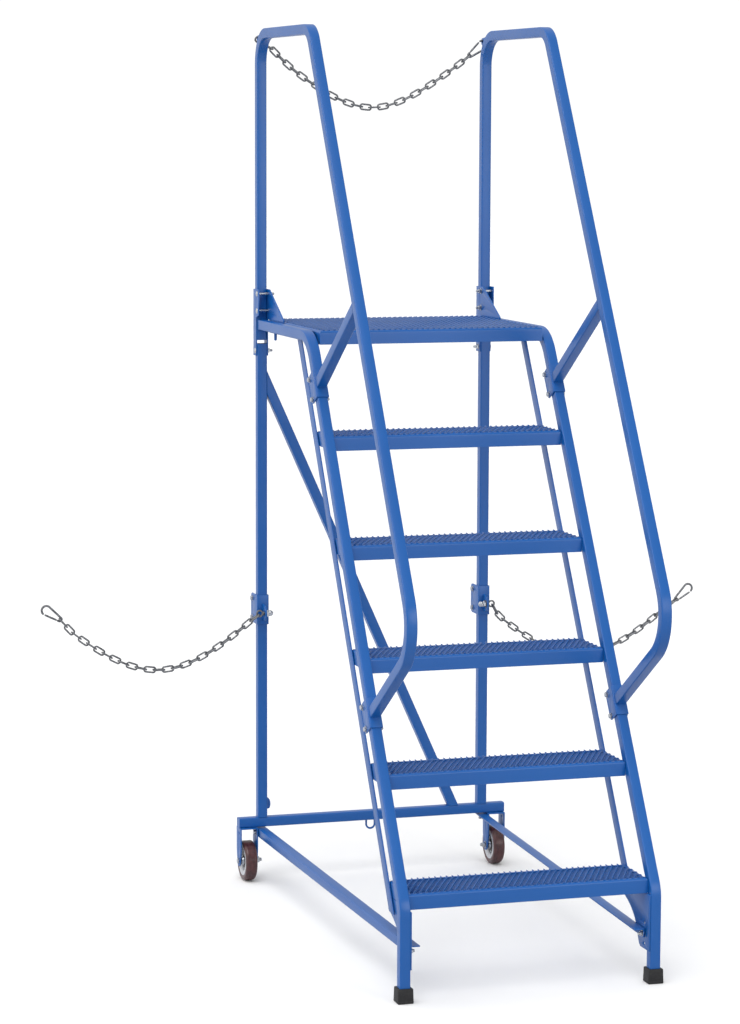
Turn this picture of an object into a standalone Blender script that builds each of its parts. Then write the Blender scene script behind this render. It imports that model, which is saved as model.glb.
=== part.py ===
"""Rolling warehouse ladder: five treads and a platform between two bent square-tube stringers,
bent-tube handrails, a rear frame on two fixed casters, a chain across the back of the platform
and two side tie chains with snap hooks.

Frame: metres, +Z up, X across the ladder, the climbing side faces -Y. The origin is on the floor,
midway along the overall depth and width. Sizes in the script are millimetres. "Depth" is measured
from the front face of the front legs towards the rear (+Y).
"""

import math

import bmesh
import bpy
from mathutils import Vector
from mathutils.geometry import tessellate_polygon

# ---------------------------------------------------------------- shared sizes (mm)
MM = 0.001
DEPTH_CENTRE = 651.515   # depth of the world origin
RISE = 254.0             # floor to tread and tread to tread
STEPS = 6                # five treads and the platform

TUBE = 26.0              # square tube of the stringers, rails and posts
WALL = 1.8
CORNER = 2.4             # outside corner radius of the tube
TUBE_X = 314.2           # middle of the side tubes
INNER_X = TUBE_X - TUBE / 2
OUTER_X = TUBE_X + TUBE / 2
GAP = 0.3                # between neighbouring pieces
FIT = 0.35               # clearance round a leg in its foot and an axle in its hub
PLATE = 3.0
HOLE_R = 4.4
INNER_PLATE_X = INNER_X - GAP - PLATE  # inner face of a plate laid inside the tubes

STRINGER_SLOPE = 0.616   # depth gained per unit of height
STRINGER_FRONT = -141.5  # depth of the stringers' front plane at floor level
RAIL_TOP = 1523.0        # top of the platform side rail

POST_DEPTH = 1293.0      # middle of the handrail post
REAR_DEPTH = 1289.0      # middle of the rear post
HAND_TOP = 2288.6        # top of the handrails
HAND_SLOPE = 0.615       # depth gained per unit of height on the handrail's slope
HAND_FRONT = -612.3      # depth of that slope's front plane at floor level
HAND_BEND_REAR = 80.0
RETURN_SLOPE = 1.52      # depth lost per unit of height on the return leg and the strut
RETURN_DEPTH = 1234.5    # depth of the return leg's middle line at floor level
STRUT_DEPTH = 2841.8     # the same for the strut

CROSS_DEPTH = 1290.0     # middle of the cross member
CROSS_SIZE = 26.0
CROSS_TOP = 172.5
CROSS_UNDER = CROSS_TOP - CROSS_SIZE - GAP  # top of what hangs below the cross member

EAR_DEPTH = 1253.0       # eye bolts and tie chains
EAR_Z = 736.0
TAB_DEPTH = 1316.0       # hole of the platform chain's tab
TAB_Z = 2262.5
TAB_HALF = 2.0           # half the thickness of an ear or a tab

# ---------------------------------------------------------------- finishes
BLUE = dict(colour=(0.035, 0.13, 0.44), roughness=0.38, metallic=0.0)
ZINC = dict(colour=(0.42, 0.43, 0.44), roughness=0.32, metallic=1.0)
RUBBER = dict(colour=(0.012, 0.012, 0.013), roughness=0.75, metallic=0.0)
MAROON = dict(colour=(0.10, 0.025, 0.022), roughness=0.45, metallic=0.0)
STEEL = dict(colour=(0.30, 0.30, 0.31), roughness=0.4, metallic=1.0)

# ---------------------------------------------------------------- directions
ACROSS = Vector((1, 0, 0))
REARWARD = Vector((0, 1, 0))
UP = Vector((0, 0, 1))
STRINGER_LEAN = math.hypot(1, STRINGER_SLOPE)
HAND_LEAN = math.hypot(1, HAND_SLOPE)
# In the (depth, height) plane: up the stringer, and square to it towards the rear.
ALONG = Vector((STRINGER_SLOPE / STRINGER_LEAN, 1 / STRINGER_LEAN))
BACKWARD = Vector((1 / STRINGER_LEAN, -STRINGER_SLOPE / STRINGER_LEAN))


def point(x, depth, z):
    """World point in metres."""
    return Vector((x, depth - DEPTH_CENTRE, z)) * MM


def stringer_front(z):
    return STRINGER_FRONT + STRINGER_SLOPE * z


# ---------------------------------------------------------------- scene
for old in list(bpy.data.objects):
    bpy.data.objects.remove(old, do_unlink=True)

root = bpy.data.objects.new("ladder", None)
bpy.context.scene.collection.objects.link(root)


def material(name, colour, roughness, metallic):
    made = bpy.data.materials.new(name)
    made.use_nodes = True
    made.diffuse_color = (*colour, 1)
    shader = made.node_tree.nodes["Principled BSDF"]
    shader.inputs["Base Color"].default_value = (*colour, 1)
    shader.inputs["Roughness"].default_value = roughness
    shader.inputs["Metallic"].default_value = metallic
    return made


def add(name, shape, finish=None, origin=(0, 0, 0), smooth=False):
    """Object from (vertices, faces) in world metres; without a finish it is a hidden helper."""
    verts, faces = shape
    origin = Vector(origin)
    mesh = bpy.data.meshes.new(name)
    build = bmesh.new()
    made = [build.verts.new(v - origin) for v in verts]
    for face in faces:
        build.faces.new([made[i] for i in face])
    bmesh.ops.recalc_face_normals(build, faces=build.faces)
    build.to_mesh(mesh)
    build.free()
    obj = bpy.data.objects.new(name, mesh)
    bpy.context.scene.collection.objects.link(obj)
    obj.location = origin
    obj.parent = root
    if finish is None:
        obj.hide_render = True
        obj.display_type = "WIRE"
        obj.hide_set(True)
    else:
        mesh.materials.append(material(name, **finish))
    if smooth:
        mesh.shade_smooth()
        mesh.set_sharp_from_angle(angle=math.radians(35))
    return obj


def boolean(obj, helper, operation):
    modifier = obj.modifiers.new(operation.lower(), "BOOLEAN")
    modifier.operation = operation
    modifier.solver = "EXACT"
    modifier.object = helper


# ---------------------------------------------------------------- flat outlines
def arc(centre_a, centre_b, radius, start, end, steps):
    """Points on a circle between two angles in degrees, both ends included."""
    turns = [math.radians(start + (end - start) * i / steps) for i in range(steps + 1)]
    return [(centre_a + radius * math.cos(t), centre_b + radius * math.sin(t)) for t in turns]


def circle(centre_a, centre_b, radius, sides):
    return arc(centre_a, centre_b, radius, 0, 360, sides)[:-1]


def rounded_square(size, corner):
    reach = size / 2 - corner
    outline = []
    for a, b, start in ((1, 1, 0), (-1, 1, 90), (-1, -1, 180), (1, -1, 270)):
        outline += arc(a * reach, b * reach, corner, start, start + 90, 2)
    return outline


def mirrored(half):
    """A (radius, across) profile closed by its own mirror image."""
    return half + [(radius, -x) for radius, x in reversed(half)]


def bent_path(corners, radii, steps):
    """Polyline in the (depth, height) plane with each inner corner rounded to its radius."""
    path = [Vector(corners[0])]
    for before, corner, after, radius in zip(corners, corners[1:], corners[2:], radii):
        corner = Vector(corner)
        to_before = (Vector(before) - corner).normalized()
        to_after = (Vector(after) - corner).normalized()
        half = math.acos(to_before.dot(to_after)) / 2
        reach = radius / math.tan(half)
        middle = corner + (to_before + to_after).normalized() * (radius / math.sin(half))
        start = corner + to_before * reach - middle
        end = corner + to_after * reach - middle
        turn = math.atan2(start.x * end.y - start.y * end.x, start.dot(end))
        for i in range(steps + 1):
            cos, sin = math.cos(turn * i / steps), math.sin(turn * i / steps)
            spoke = (start.x * cos - start.y * sin, start.x * sin + start.y * cos)
            path.append(middle + Vector(spoke))
    path.append(Vector(corners[-1]))
    return path


# ---------------------------------------------------------------- solids
def prism(loops, place, low, high):
    """Prism over a flat outline and its holes; `place(a, b, height)` gives the world point."""
    points = [p for loop in loops for p in loop]
    count = len(points)
    verts = [place(a, b, level) for level in (low, high) for a, b in points]
    caps = tessellate_polygon([[Vector((a, b, 0)) for a, b in loop] for loop in loops])
    faces = [tuple(cap) for cap in caps]
    faces += [tuple(i + count for i in reversed(cap)) for cap in caps]
    start = 0
    for loop in loops:
        for i in range(len(loop)):
            here, after = start + i, start + (i + 1) % len(loop)
            faces.append((here, after, after + count, here + count))
        start += len(loop)
    return verts, faces


def side_plate(loops, low_x, high_x):
    """Prism across the ladder over (depth, height) loops."""
    return prism(loops, lambda depth, z, x: point(x, depth, z), low_x, high_x)


def skin(rings, closed=False):
    """Vertices, and the quads that join each ring to the next; `closed` joins last to first."""
    size = len(rings[0])
    faces = []
    for i in range(len(rings) if closed else len(rings) - 1):
        here, there = i * size, (i + 1) % len(rings) * size
        for k in range(size):
            after = (k + 1) % size
            faces.append((here + k, here + after, there + after, there + k))
    return [v for ring in rings for v in ring], faces


def capped_skin(rings):
    verts, faces = skin(rings)
    size = len(rings[0])
    faces.append(tuple(range(size)))
    faces.append(tuple(range(len(verts) - size, len(verts))))
    return verts, faces


def heading(path, i, closed=False):
    if closed:
        return (path[(i + 1) % len(path)] - path[i - 1]).normalized()
    return (path[min(i + 1, len(path) - 1)] - path[max(i - 1, 0)]).normalized()


def tube(name, path, side, size=TUBE, wall=WALL, corner=CORNER, cuts=(None, None), origin=None):
    """Hollow square tube; `side` is a fixed unit direction square to the path.

    `cuts` are (point, normal) planes that the two ends stop at, None for a square end.
    """
    outer = rounded_square(size, corner)
    inner = rounded_square(size - 2 * wall, corner - wall)
    cut_at = {0: cuts[0], len(path) - 1: cuts[1]}

    def ring(outline, i):
        ahead = heading(path, i)
        other = ahead.cross(side).normalized()
        verts = [path[i] + (side * a + other * b) * MM for a, b in outline]
        if cut_at.get(i):
            on_plane, normal = cut_at[i]
            slant = ahead.dot(normal)
            verts = [v + ahead * ((on_plane - v).dot(normal) / slant) for v in verts]
        return verts

    # Out along the outside and back along the inside, so that closing it makes both ends.
    rings = [ring(outer, i) for i in range(len(path))]
    rings += [ring(inner, i) for i in reversed(range(len(path)))]
    origin = path[0] if origin is None else origin
    return add(name, skin(rings, closed=True), BLUE, origin, smooth=True)


def rod(name, path, radius, finish, origin, sides=8, closed=False, smooth=True):
    """Wire along points that lie in an upright plane across the ladder."""
    rings = []
    for i, centre in enumerate(path):
        other = heading(path, i, closed).cross(REARWARD).normalized()
        turns = [2 * math.pi * (k + 0.5) / sides for k in range(sides)]
        rings.append([
            centre + (REARWARD * math.cos(t) + other * math.sin(t)) * radius * MM for t in turns
        ])
    shape = skin(rings, closed=True) if closed else capped_skin(rings)
    return add(name, shape, finish, origin, smooth)


def lathe(name, profile, centre, finish, steps=48):
    """Closed (radius, across) profile turned about the across axis."""
    turns = [2 * math.pi * i / steps for i in range(steps)]
    rings = [
        [centre + Vector((x, r * math.cos(t), r * math.sin(t))) * MM for r, x in profile]
        for t in turns
    ]
    return add(name, skin(rings, closed=True), finish, centre, smooth=True)


CHANNEL_CHAMFER = 1.5


def channel(name, shape_name, place, middle_x, length, near, far, corner, bolt, pitch, origin):
    """U-shaped channel round a side tube, open to the rear, with two bolt holes in its flanges.

    `place(along, back, x)` gives the world point. The web starts at `near`, the flanges end at
    `far` with corners rounded to `corner`, and the holes lie at `bolt`, `pitch` apart.
    """
    inside = TUBE / 2 + GAP
    outside = inside + PLATE
    bevel = CHANNEL_CHAMFER
    profile = [
        (-outside + bevel, near), (outside - bevel, near), (outside, near + bevel),
        (outside, far), (inside, far), (inside, near + PLATE),
        (-inside, near + PLATE), (-inside, far), (-outside, far), (-outside, near + bevel),
    ]
    body = prism(
        [profile], lambda a, back, along: place(along, back, middle_x + a), -length / 2, length / 2
    )
    obj = add(name, body, BLUE, origin)

    end, front, half_width = length / 2 + 1, near - 2, 30  # helper overshoots the channel
    trim = [(-end, front), (end, front)]
    trim += arc(length / 2 - corner, far - corner, corner, 0, 90, 4)
    trim += arc(-length / 2 + corner, far - corner, corner, 90, 180, 4)
    holes = [circle(e * pitch / 2, bolt, HOLE_R, 12) for e in (-1, 1)]
    shape = prism([trim] + holes, place, middle_x - half_width, middle_x + half_width)
    boolean(obj, add(shape_name, shape), "INTERSECT")
    return obj


# ---------------------------------------------------------------- stringers and feet
LEG_END = 5.0
BEND_LOW = 75.0
BEND_TOP = 105.0
RAIL_END = 1275.5


def stringer(label, sign):
    """Upright foot, slope and level platform rail."""
    middle = STRINGER_FRONT + TUBE / 2 * STRINGER_LEAN
    rail_z = RAIL_TOP - TUBE / 2
    corners = [
        (TUBE / 2, LEG_END),
        (TUBE / 2, (TUBE / 2 - middle) / STRINGER_SLOPE),
        (middle + STRINGER_SLOPE * rail_z, rail_z),
        (RAIL_END, rail_z),
    ]
    line = bent_path(corners, [BEND_LOW, BEND_TOP], 7)
    tube(f"stringer_{label}", [point(sign * TUBE_X, depth, z) for depth, z in line], ACROSS)


BACK_BAR_SET = 151.0     # front edge behind the stringers' front plane
BACK_BAR_WIDE = 38.6
BACK_BAR_IN = 301.8
BACK_BAR_OUT = 304.8
BACK_BAR_FOOT = 182.0


def back_bar(label, sign):
    """Flat bar that carries the rear of the treads."""
    top = RAIL_TOP - TUBE - GAP
    low_front = stringer_front(BACK_BAR_FOOT) + BACK_BAR_SET
    top_front = stringer_front(top) + BACK_BAR_SET
    outline = [
        (low_front, BACK_BAR_FOOT),
        (low_front + BACK_BAR_WIDE, BACK_BAR_FOOT),
        (top_front + BACK_BAR_WIDE, top),
        (top_front, top),
    ]
    shape = side_plate([outline], sign * BACK_BAR_IN, sign * BACK_BAR_OUT)
    add(f"back_bar_{label}", shape, BLUE, point(sign * BACK_BAR_IN, low_front, BACK_BAR_FOOT))


GUSSET_OUTLINE = [  # (depth, height), ending at the top front corner
    (2, 78), (60, 78), (68, 84), (74, 96), (80, 111), (88, 127), (98, 140), (110, 151),
    (125, 162), (143, 171.5), (163, 179), (178, 183), (178, 216.5), (2, 216.5),
]
GUSSET_HOLE_DEPTH = 34
GUSSET_HOLE_HEIGHTS = (91.0, 116.0, 141.0)


def foot_gusset(label, sign):
    """Plate inside the leg with three adjusting holes."""
    holes = [circle(GUSSET_HOLE_DEPTH, z, HOLE_R, 16) for z in GUSSET_HOLE_HEIGHTS]
    inner = sign * INNER_PLATE_X
    shape = side_plate([GUSSET_OUTLINE] + holes, inner, sign * (INNER_X - GAP))
    add(f"foot_gusset_{label}", shape, BLUE, point(inner, *GUSSET_OUTLINE[-1]))


FOOT_STATIONS = [  # (half width, height): up the outside, then down into the socket
    (17.9, 0), (19.4, 2), (18.4, 34), (16.9, 35.5),
    (TUBE / 2 + FIT, 35.5), (TUBE / 2 + FIT, 4.6),
]


def rubber_foot(label, sign):
    square = ((-1, -1), (1, -1), (1, 1), (-1, 1))
    rings = [
        [point(sign * TUBE_X + a * half, TUBE / 2 + b * half, z) for a, b in square]
        for half, z in FOOT_STATIONS
    ]
    add(f"rubber_foot_{label}", capped_skin(rings), RUBBER, point(sign * TUBE_X, TUBE / 2, 0))


# ---------------------------------------------------------------- handrails and their saddles
SADDLE_CLEAR = 0.4       # saddle web in front of the stringer
# Heights at which the strut and the return leg meet the stringers' front plane.
UPPER_SADDLE_Z = (STRUT_DEPTH - STRINGER_FRONT) / (STRINGER_SLOPE + RETURN_SLOPE)
LOWER_SADDLE_Z = (RETURN_DEPTH - STRINGER_FRONT) / (STRINGER_SLOPE + RETURN_SLOPE)

HAND_FOOT = 1468.5       # foot of the handrail post
HAND_BEND_FRONT = 65.0
HAND_BEND_LOW = 115.0


def saddle_face(sign):
    """Plane just in front of the saddles, where the return leg and the strut stop."""
    normal = Vector((0, *BACKWARD))
    offset = (SADDLE_CLEAR + PLATE + GAP) * MM
    return point(sign * TUBE_X, STRINGER_FRONT, 0) - normal * offset, normal


def handrail(label, sign):
    """Post, level top, slope and return leg down to the lower saddle."""
    middle = HAND_FRONT + TUBE / 2 * HAND_LEAN
    top_z = HAND_TOP - TUBE / 2
    knee_z = (RETURN_DEPTH - middle) / (HAND_SLOPE + RETURN_SLOPE)
    corners = [
        (POST_DEPTH, HAND_FOOT),
        (POST_DEPTH, top_z),
        (middle + HAND_SLOPE * top_z, top_z),
        (RETURN_DEPTH - RETURN_SLOPE * knee_z, knee_z),
        (RETURN_DEPTH - RETURN_SLOPE * LOWER_SADDLE_Z, LOWER_SADDLE_Z),
    ]
    line = bent_path(corners, [HAND_BEND_REAR, HAND_BEND_FRONT, HAND_BEND_LOW], 9)
    path = [point(sign * TUBE_X, depth, z) for depth, z in line]
    tube(f"handrail_{label}", path, ACROSS, cuts=(None, saddle_face(sign)))


def handrail_strut(label, sign):
    """Strut from the upper saddle to the rear face of the handrail's slope."""
    rear = HAND_FRONT + (TUBE + GAP) * HAND_LEAN
    head_z = (STRUT_DEPTH - rear) / (HAND_SLOPE + RETURN_SLOPE)
    ends = [
        point(sign * TUBE_X, STRUT_DEPTH - RETURN_SLOPE * z, z) for z in (UPPER_SADDLE_Z, head_z)
    ]
    hand_face = (point(sign * TUBE_X, rear, 0), Vector((0, 1, -HAND_SLOPE)))
    tube(f"handrail_strut_{label}", ends, ACROSS, cuts=(saddle_face(sign), hand_face))


def saddles(label, sign):
    """Channels round the stringer with their bolt holes behind it."""
    middle_x = sign * TUBE_X
    for level, z in (("upper", UPPER_SADDLE_Z), ("lower", LOWER_SADDLE_Z)):
        base = Vector((stringer_front(z), z))

        def place(along, back, x, base=base):
            spot = base + ALONG * along + BACKWARD * back
            return point(x, spot.x, spot.y)

        channel(
            f"saddle_{level}_{label}", f"shape_{level}_{label}", place, middle_x,
            length=76.0, near=-SADDLE_CLEAR - PLATE, far=43.0, corner=9.0,
            bolt=33.0, pitch=56.0, origin=place(0, 0, middle_x),
        )


# ---------------------------------------------------------------- platform corner brackets
BRACKET_INNER = [  # (depth, height) of the inner cheek
    (1309, 1427), (1309, 1604), (1255, 1604), (1243, 1597),
    (1116, 1530), (1116, 1523.6), (1278.5, 1523.6), (1278.5, 1427),
]
BRACKET_OUTER = [  # (depth, height) of the outer cheek
    (1309, 1427), (1309, 1604), (1257, 1604), (1257, 1536), (1281, 1529), (1281, 1427),
]
BRACKET_HOLES = ((1271, 1592), (1271, 1547), (1289, 1440))
BRACKET_WEB_BACK = 1308.7
BRACKET_WEB_LOW, BRACKET_WEB_HIGH = 1486, 1602
BRACKET_ORIGIN_Z = 1515


def platform_bracket(label, sign):
    """Two cheeks joined by a web behind the handrail post."""
    holes = [circle(depth, z, HOLE_R, 12) for depth, z in BRACKET_HOLES]
    web_front = POST_DEPTH + TUBE / 2 + GAP
    inner_x, outer_x = INNER_PLATE_X, OUTER_X + GAP
    inner = side_plate([BRACKET_INNER] + holes, sign * inner_x, sign * (inner_x + PLATE))
    origin = point(sign * TUBE_X, web_front, BRACKET_ORIGIN_Z)
    bracket = add(f"platform_bracket_{label}", inner, BLUE, origin)

    outer = side_plate([BRACKET_OUTER] + holes, sign * outer_x, sign * (outer_x + PLATE))
    boolean(bracket, add(f"cheek_{label}", outer), "UNION")

    # The web ends halfway through each cheek.
    low_x, high_x = sign * (inner_x + PLATE / 2), sign * (outer_x + PLATE / 2)
    outline = [
        (low_x, web_front), (high_x, web_front),
        (high_x, BRACKET_WEB_BACK), (low_x, BRACKET_WEB_BACK),
    ]
    web = prism([outline], point, BRACKET_WEB_LOW, BRACKET_WEB_HIGH)
    boolean(bracket, add(f"web_{label}", web), "UNION")


# ---------------------------------------------------------------- rear posts and chain clamps
REAR_POST_TOP = 1459.0


def rear_post(label, sign):
    ends = [point(sign * TUBE_X, REAR_DEPTH, z) for z in (CROSS_TOP + GAP, REAR_POST_TOP)]
    tube(f"rear_post_{label}", ends, ACROSS)


CLAMP_Z = 743.0


def chain_clamp(label, sign):
    """Channel round the rear post with an ear in front for the eye bolt."""
    middle_x = sign * TUBE_X
    web_front = REAR_DEPTH - TUBE / 2 - GAP - PLATE
    clamp = channel(
        f"chain_clamp_{label}", f"clamp_shape_{label}",
        lambda along, back, x: point(x, back, CLAMP_Z + along), middle_x,
        length=80.0, near=web_front, far=1338.0, corner=12.0,
        bolt=1322.0, pitch=52.0, origin=point(middle_x, REAR_DEPTH, CLAMP_Z),
    )
    root_depth, half_root = web_front + PLATE / 2, 24
    ear = [(root_depth, EAR_Z + half_root), (root_depth, EAR_Z - half_root)]
    ear += arc(EAR_DEPTH + 6, EAR_Z, 22, 250, 110, 10)
    hole = circle(EAR_DEPTH, EAR_Z, HOLE_R, 16)
    shape = side_plate([ear, hole], middle_x - TAB_HALF, middle_x + TAB_HALF)
    boolean(clamp, add(f"ear_{label}", shape), "UNION")


EYE_R = 8.0              # middle of the ring's wire
EYE_WIRE = 2.4           # radius of the wire
EYE_STANDOFF = 4.0       # from the tube's middle to the ring's inboard edge
EYE_X = TUBE_X + EYE_STANDOFF + EYE_R + EYE_WIRE
SHANK_INBOARD = 15       # how far the shank runs inboard of the tube's middle
SHANK_R = 3.8


def chain_eye(label, sign):
    """Eye bolt: a shank through the ear and a ring outboard of it."""
    ring = [point(sign * x, EAR_DEPTH, z) for x, z in circle(EYE_X, EAR_Z, EYE_R, 20)]
    centre = point(sign * EYE_X, EAR_DEPTH, EAR_Z)
    eye = rod(f"chain_eye_{label}", ring, EYE_WIRE, ZINC, centre, closed=True)
    ends = [point(sign * x, EAR_DEPTH, EAR_Z) for x in (TUBE_X - SHANK_INBOARD, EYE_X - EYE_R)]
    boolean(eye, rod(f"shank_{label}", ends, SHANK_R, None, ends[0], sides=10), "UNION")


# ---------------------------------------------------------------- casters
WHEEL_X = 354.0
WHEEL_R = 54.0           # also the height of the axle
WHEEL_HALF = 16.0        # half the tyre's width
TYRE_ROUND = 6           # radius of the tyre's shoulders
HUB_R = 36.0
AXLE_R = 5.0
FORK_IN = 329.6
FORK_OUT = 378.4
FORK_HALF = 22.5         # half the fork's depth
FORK_FOOT = 30           # bottom of the uncut legs
FORK_TAPER_Z = 84        # the legs narrow below this
FORK_TIP_R = 15.5
FORK_HOLE = (CROSS_DEPTH - 6, 132)


def caster_fork(label, sign):
    """Upturned U with legs that taper to round tips under the axle."""
    top, crown = CROSS_UNDER, CROSS_UNDER - PLATE
    profile = [  # (across, height)
        (FORK_IN, FORK_FOOT), (FORK_IN + PLATE, FORK_FOOT), (FORK_IN + PLATE, crown),
        (FORK_OUT - PLATE, crown), (FORK_OUT - PLATE, FORK_FOOT), (FORK_OUT, FORK_FOOT),
        (FORK_OUT, top), (FORK_IN, top),
    ]
    body = prism(
        [profile], lambda x, z, depth: point(sign * x, depth, z),
        CROSS_DEPTH - FORK_HALF, CROSS_DEPTH + FORK_HALF,
    )
    fork = add(f"caster_fork_{label}", body, ZINC, point(sign * WHEEL_X, CROSS_DEPTH, top))

    head, shoulder = FORK_HALF + 1, FORK_HALF - 0.5
    outline = [(CROSS_DEPTH - head, top + 2), (CROSS_DEPTH - shoulder - 1 + 1, FORK_TAPER_Z)]
    outline[1] = (CROSS_DEPTH - shoulder, FORK_TAPER_Z)
    outline += arc(CROSS_DEPTH, WHEEL_R, FORK_TIP_R, 205, 335, 10)
    outline += [(CROSS_DEPTH + shoulder, FORK_TAPER_Z), (CROSS_DEPTH + head, top + 2)]
    holes = [circle(CROSS_DEPTH, WHEEL_R, AXLE_R + GAP, 20), circle(*FORK_HOLE, HOLE_R, 12)]
    shape = side_plate([outline] + holes, sign * (FORK_IN - 5), sign * (FORK_OUT + 5))
    boolean(fork, add(f"fork_shape_{label}", shape), "INTERSECT")


def caster_wheel(label, sign):
    """Tyre round a hub with a recessed web on each face."""
    centre = point(sign * WHEEL_X, CROSS_DEPTH, WHEEL_R)
    face = -WHEEL_HALF
    tyre = [(HUB_R + GAP, face + 1)]
    tyre += arc(WHEEL_R - TYRE_ROUND, face + TYRE_ROUND, TYRE_ROUND, -90, 0, 3)
    lathe(f"wheel_tyre_{label}", mirrored(tyre), centre, MAROON)
    hub = [
        (AXLE_R + FIT, face - 2), (12, face - 2), (12, face + 5),
        (30, face + 5), (30, face + 1), (HUB_R, face + 1),
    ]
    lathe(f"wheel_hub_{label}", mirrored(hub), centre, STEEL)


AXLE_INBOARD = 13        # axle end beyond the fork's inner leg
AXLE_OUTBOARD = 1.2      # axle end beyond the fork's outer leg
AXLE_HEAD_R = 8.6
AXLE_HEAD_SPAN = (0.4, 5.4)  # faces of the hexagon head beyond the outer leg


def caster_axle(label, sign):
    """Axle with a hexagon head at its outer end."""
    centre = point(sign * WHEEL_X, CROSS_DEPTH, WHEEL_R)
    ends = [
        point(sign * x, CROSS_DEPTH, WHEEL_R)
        for x in (FORK_IN - AXLE_INBOARD, FORK_OUT + AXLE_OUTBOARD)
    ]
    axle = rod(f"caster_axle_{label}", ends, AXLE_R, ZINC, centre, sides=16)
    hexagon = circle(CROSS_DEPTH, WHEEL_R, AXLE_HEAD_R, 6)
    shape = side_plate([hexagon], *(sign * (FORK_OUT + x) for x in AXLE_HEAD_SPAN))
    boolean(axle, add(f"axle_head_{label}", shape), "UNION")


# ---------------------------------------------------------------- lower side bars
SIDE_BAR_PROFILE = [(0, 0), (26, 0), (26, 3), (3, 3), (3, 22), (0, 22)]  # (inset, drop)
SIDE_BAR_FRONT, SIDE_BAR_BACK = 26.0, 1300.0
# The bar's line runs from its datum depth to its rear end.
SIDE_BAR_DATUM = 25
SIDE_BAR_X = 295.8       # outer face at the datum
SIDE_BAR_X_BACK = 329.2  # outer face at the rear end
SIDE_BAR_Z = 129.4       # top at the datum
SIDE_BAR_CLIMB = 13.8


def side_bar(label, sign):
    """Angle with its flange on top, pointing in; it spreads and climbs to the rear."""

    def place(inset, drop, depth):
        run = (depth - SIDE_BAR_DATUM) / (SIDE_BAR_BACK - SIDE_BAR_DATUM)
        outer = SIDE_BAR_X + (SIDE_BAR_X_BACK - SIDE_BAR_X) * run
        return point(sign * (outer - inset), depth, SIDE_BAR_Z + SIDE_BAR_CLIMB * run - drop)

    shape = prism([SIDE_BAR_PROFILE], place, SIDE_BAR_FRONT, SIDE_BAR_BACK)
    add(f"side_bar_{label}", shape, BLUE, place(0, 0, SIDE_BAR_FRONT))


# ---------------------------------------------------------------- platform chain tabs
TAB_R = 10.5
TAB_HOLE_R = 5.5
TAB_ROOT = (14, -8)      # top and bottom of the tab's root, from the hole


def chain_tab(label, sign):
    """Tab behind the handrail's top rear bend."""
    bend_depth = POST_DEPTH - HAND_BEND_REAR
    bend_z = HAND_TOP - TUBE / 2 - HAND_BEND_REAR
    radius = HAND_BEND_REAR + TUBE / 2 + GAP
    start, end = (math.degrees(math.asin((TAB_Z + z - bend_z) / radius)) for z in TAB_ROOT)
    outline = arc(bend_depth, bend_z, radius, start, end, 5)
    outline += arc(TAB_DEPTH, TAB_Z, TAB_R, -90, 60, 8)
    hole = circle(TAB_DEPTH, TAB_Z, TAB_HOLE_R, 16)
    middle_x = sign * TUBE_X
    shape = side_plate([outline, hole], middle_x - TAB_HALF, middle_x + TAB_HALF)
    add(f"chain_tab_{label}", shape, BLUE, point(middle_x, TAB_DEPTH, TAB_Z))


# ---------------------------------------------------------------- treads and platform
TREAD_DEPTH = 153.0
TREAD_SET = 6.3          # tread front behind the stringers' front plane
TREAD_HALF = 300.6
PLATFORM_FRONT = 782.4
PLATFORM_BACK = 1276.0
PLATFORM_HALF = 297.4
SHEET = 2.5              # thickness of the frames
LEDGE_DROP = 6.5         # top of the frame's inner ledge below the frame's top
GRATING_PROUD = 2.4      # grating above its frame
GRATING_DROP = 4.4       # underside of the grating below the frame's top


def step(kind, suffix, half, front, back, top, fascia, ledge):
    """Frame with mitred corners and an inner ledge, and the grating inside it."""
    under = LEDGE_DROP + SHEET
    profile = [  # (inset, drop below the top)
        (0, 0), (0, fascia), (SHEET, fascia), (SHEET, under),
        (ledge, under), (ledge, LEDGE_DROP), (SHEET, LEDGE_DROP), (SHEET, 0),
    ]
    corners = ((-half, front, 1, 1), (half, front, -1, 1), (half, back, -1, -1), (-half, back, 1, -1))
    rings = [
        [point(x + in_x * inset, depth + in_depth * inset, top - drop) for inset, drop in profile]
        for x, depth, in_x, in_depth in corners
    ]
    origin = point(0, front, top)
    add(f"{kind}_frame{suffix}", skin(rings, closed=True), BLUE, origin)

    inset = SHEET + GAP
    outline = [(x + a * inset, depth + b * inset) for x, depth, a, b in corners]
    grating = prism([outline], point, top - GRATING_DROP, top + GRATING_PROUD)
    add(f"{kind}_grating{suffix}", grating, BLUE, origin)


def steps():
    for number in range(1, STEPS):
        top = RISE * number
        front = stringer_front(top) + TREAD_SET
        back = front + TREAD_DEPTH
        step("tread", f"_{number}", TREAD_HALF, front, back, top, fascia=36.7, ledge=16)
    step(
        "platform", "", PLATFORM_HALF, PLATFORM_FRONT, PLATFORM_BACK, RISE * STEPS,
        fascia=35.0, ledge=22,
    )


# ---------------------------------------------------------------- rear frame
CROSS_HALF = 379.6
CROSS_WALL = 2.2
CROSS_CORNER = 2.8
BRACE_HEAD_Z = 1354.6
BRACE_FOOT_X = 231.3
LOOP_X = -5
LOOP_R = 12
LOOP_DROP = 13           # straight legs above the half circle
LOOP_WIRE = 2.8


def cross_member():
    middle_z = CROSS_TOP - CROSS_SIZE / 2
    left, middle, right = (point(x, CROSS_DEPTH, middle_z) for x in (-CROSS_HALF, 0, CROSS_HALF))
    tube(
        "cross_member", [left, right], REARWARD,
        size=CROSS_SIZE, wall=CROSS_WALL, corner=CROSS_CORNER, origin=middle,
    )


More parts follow.
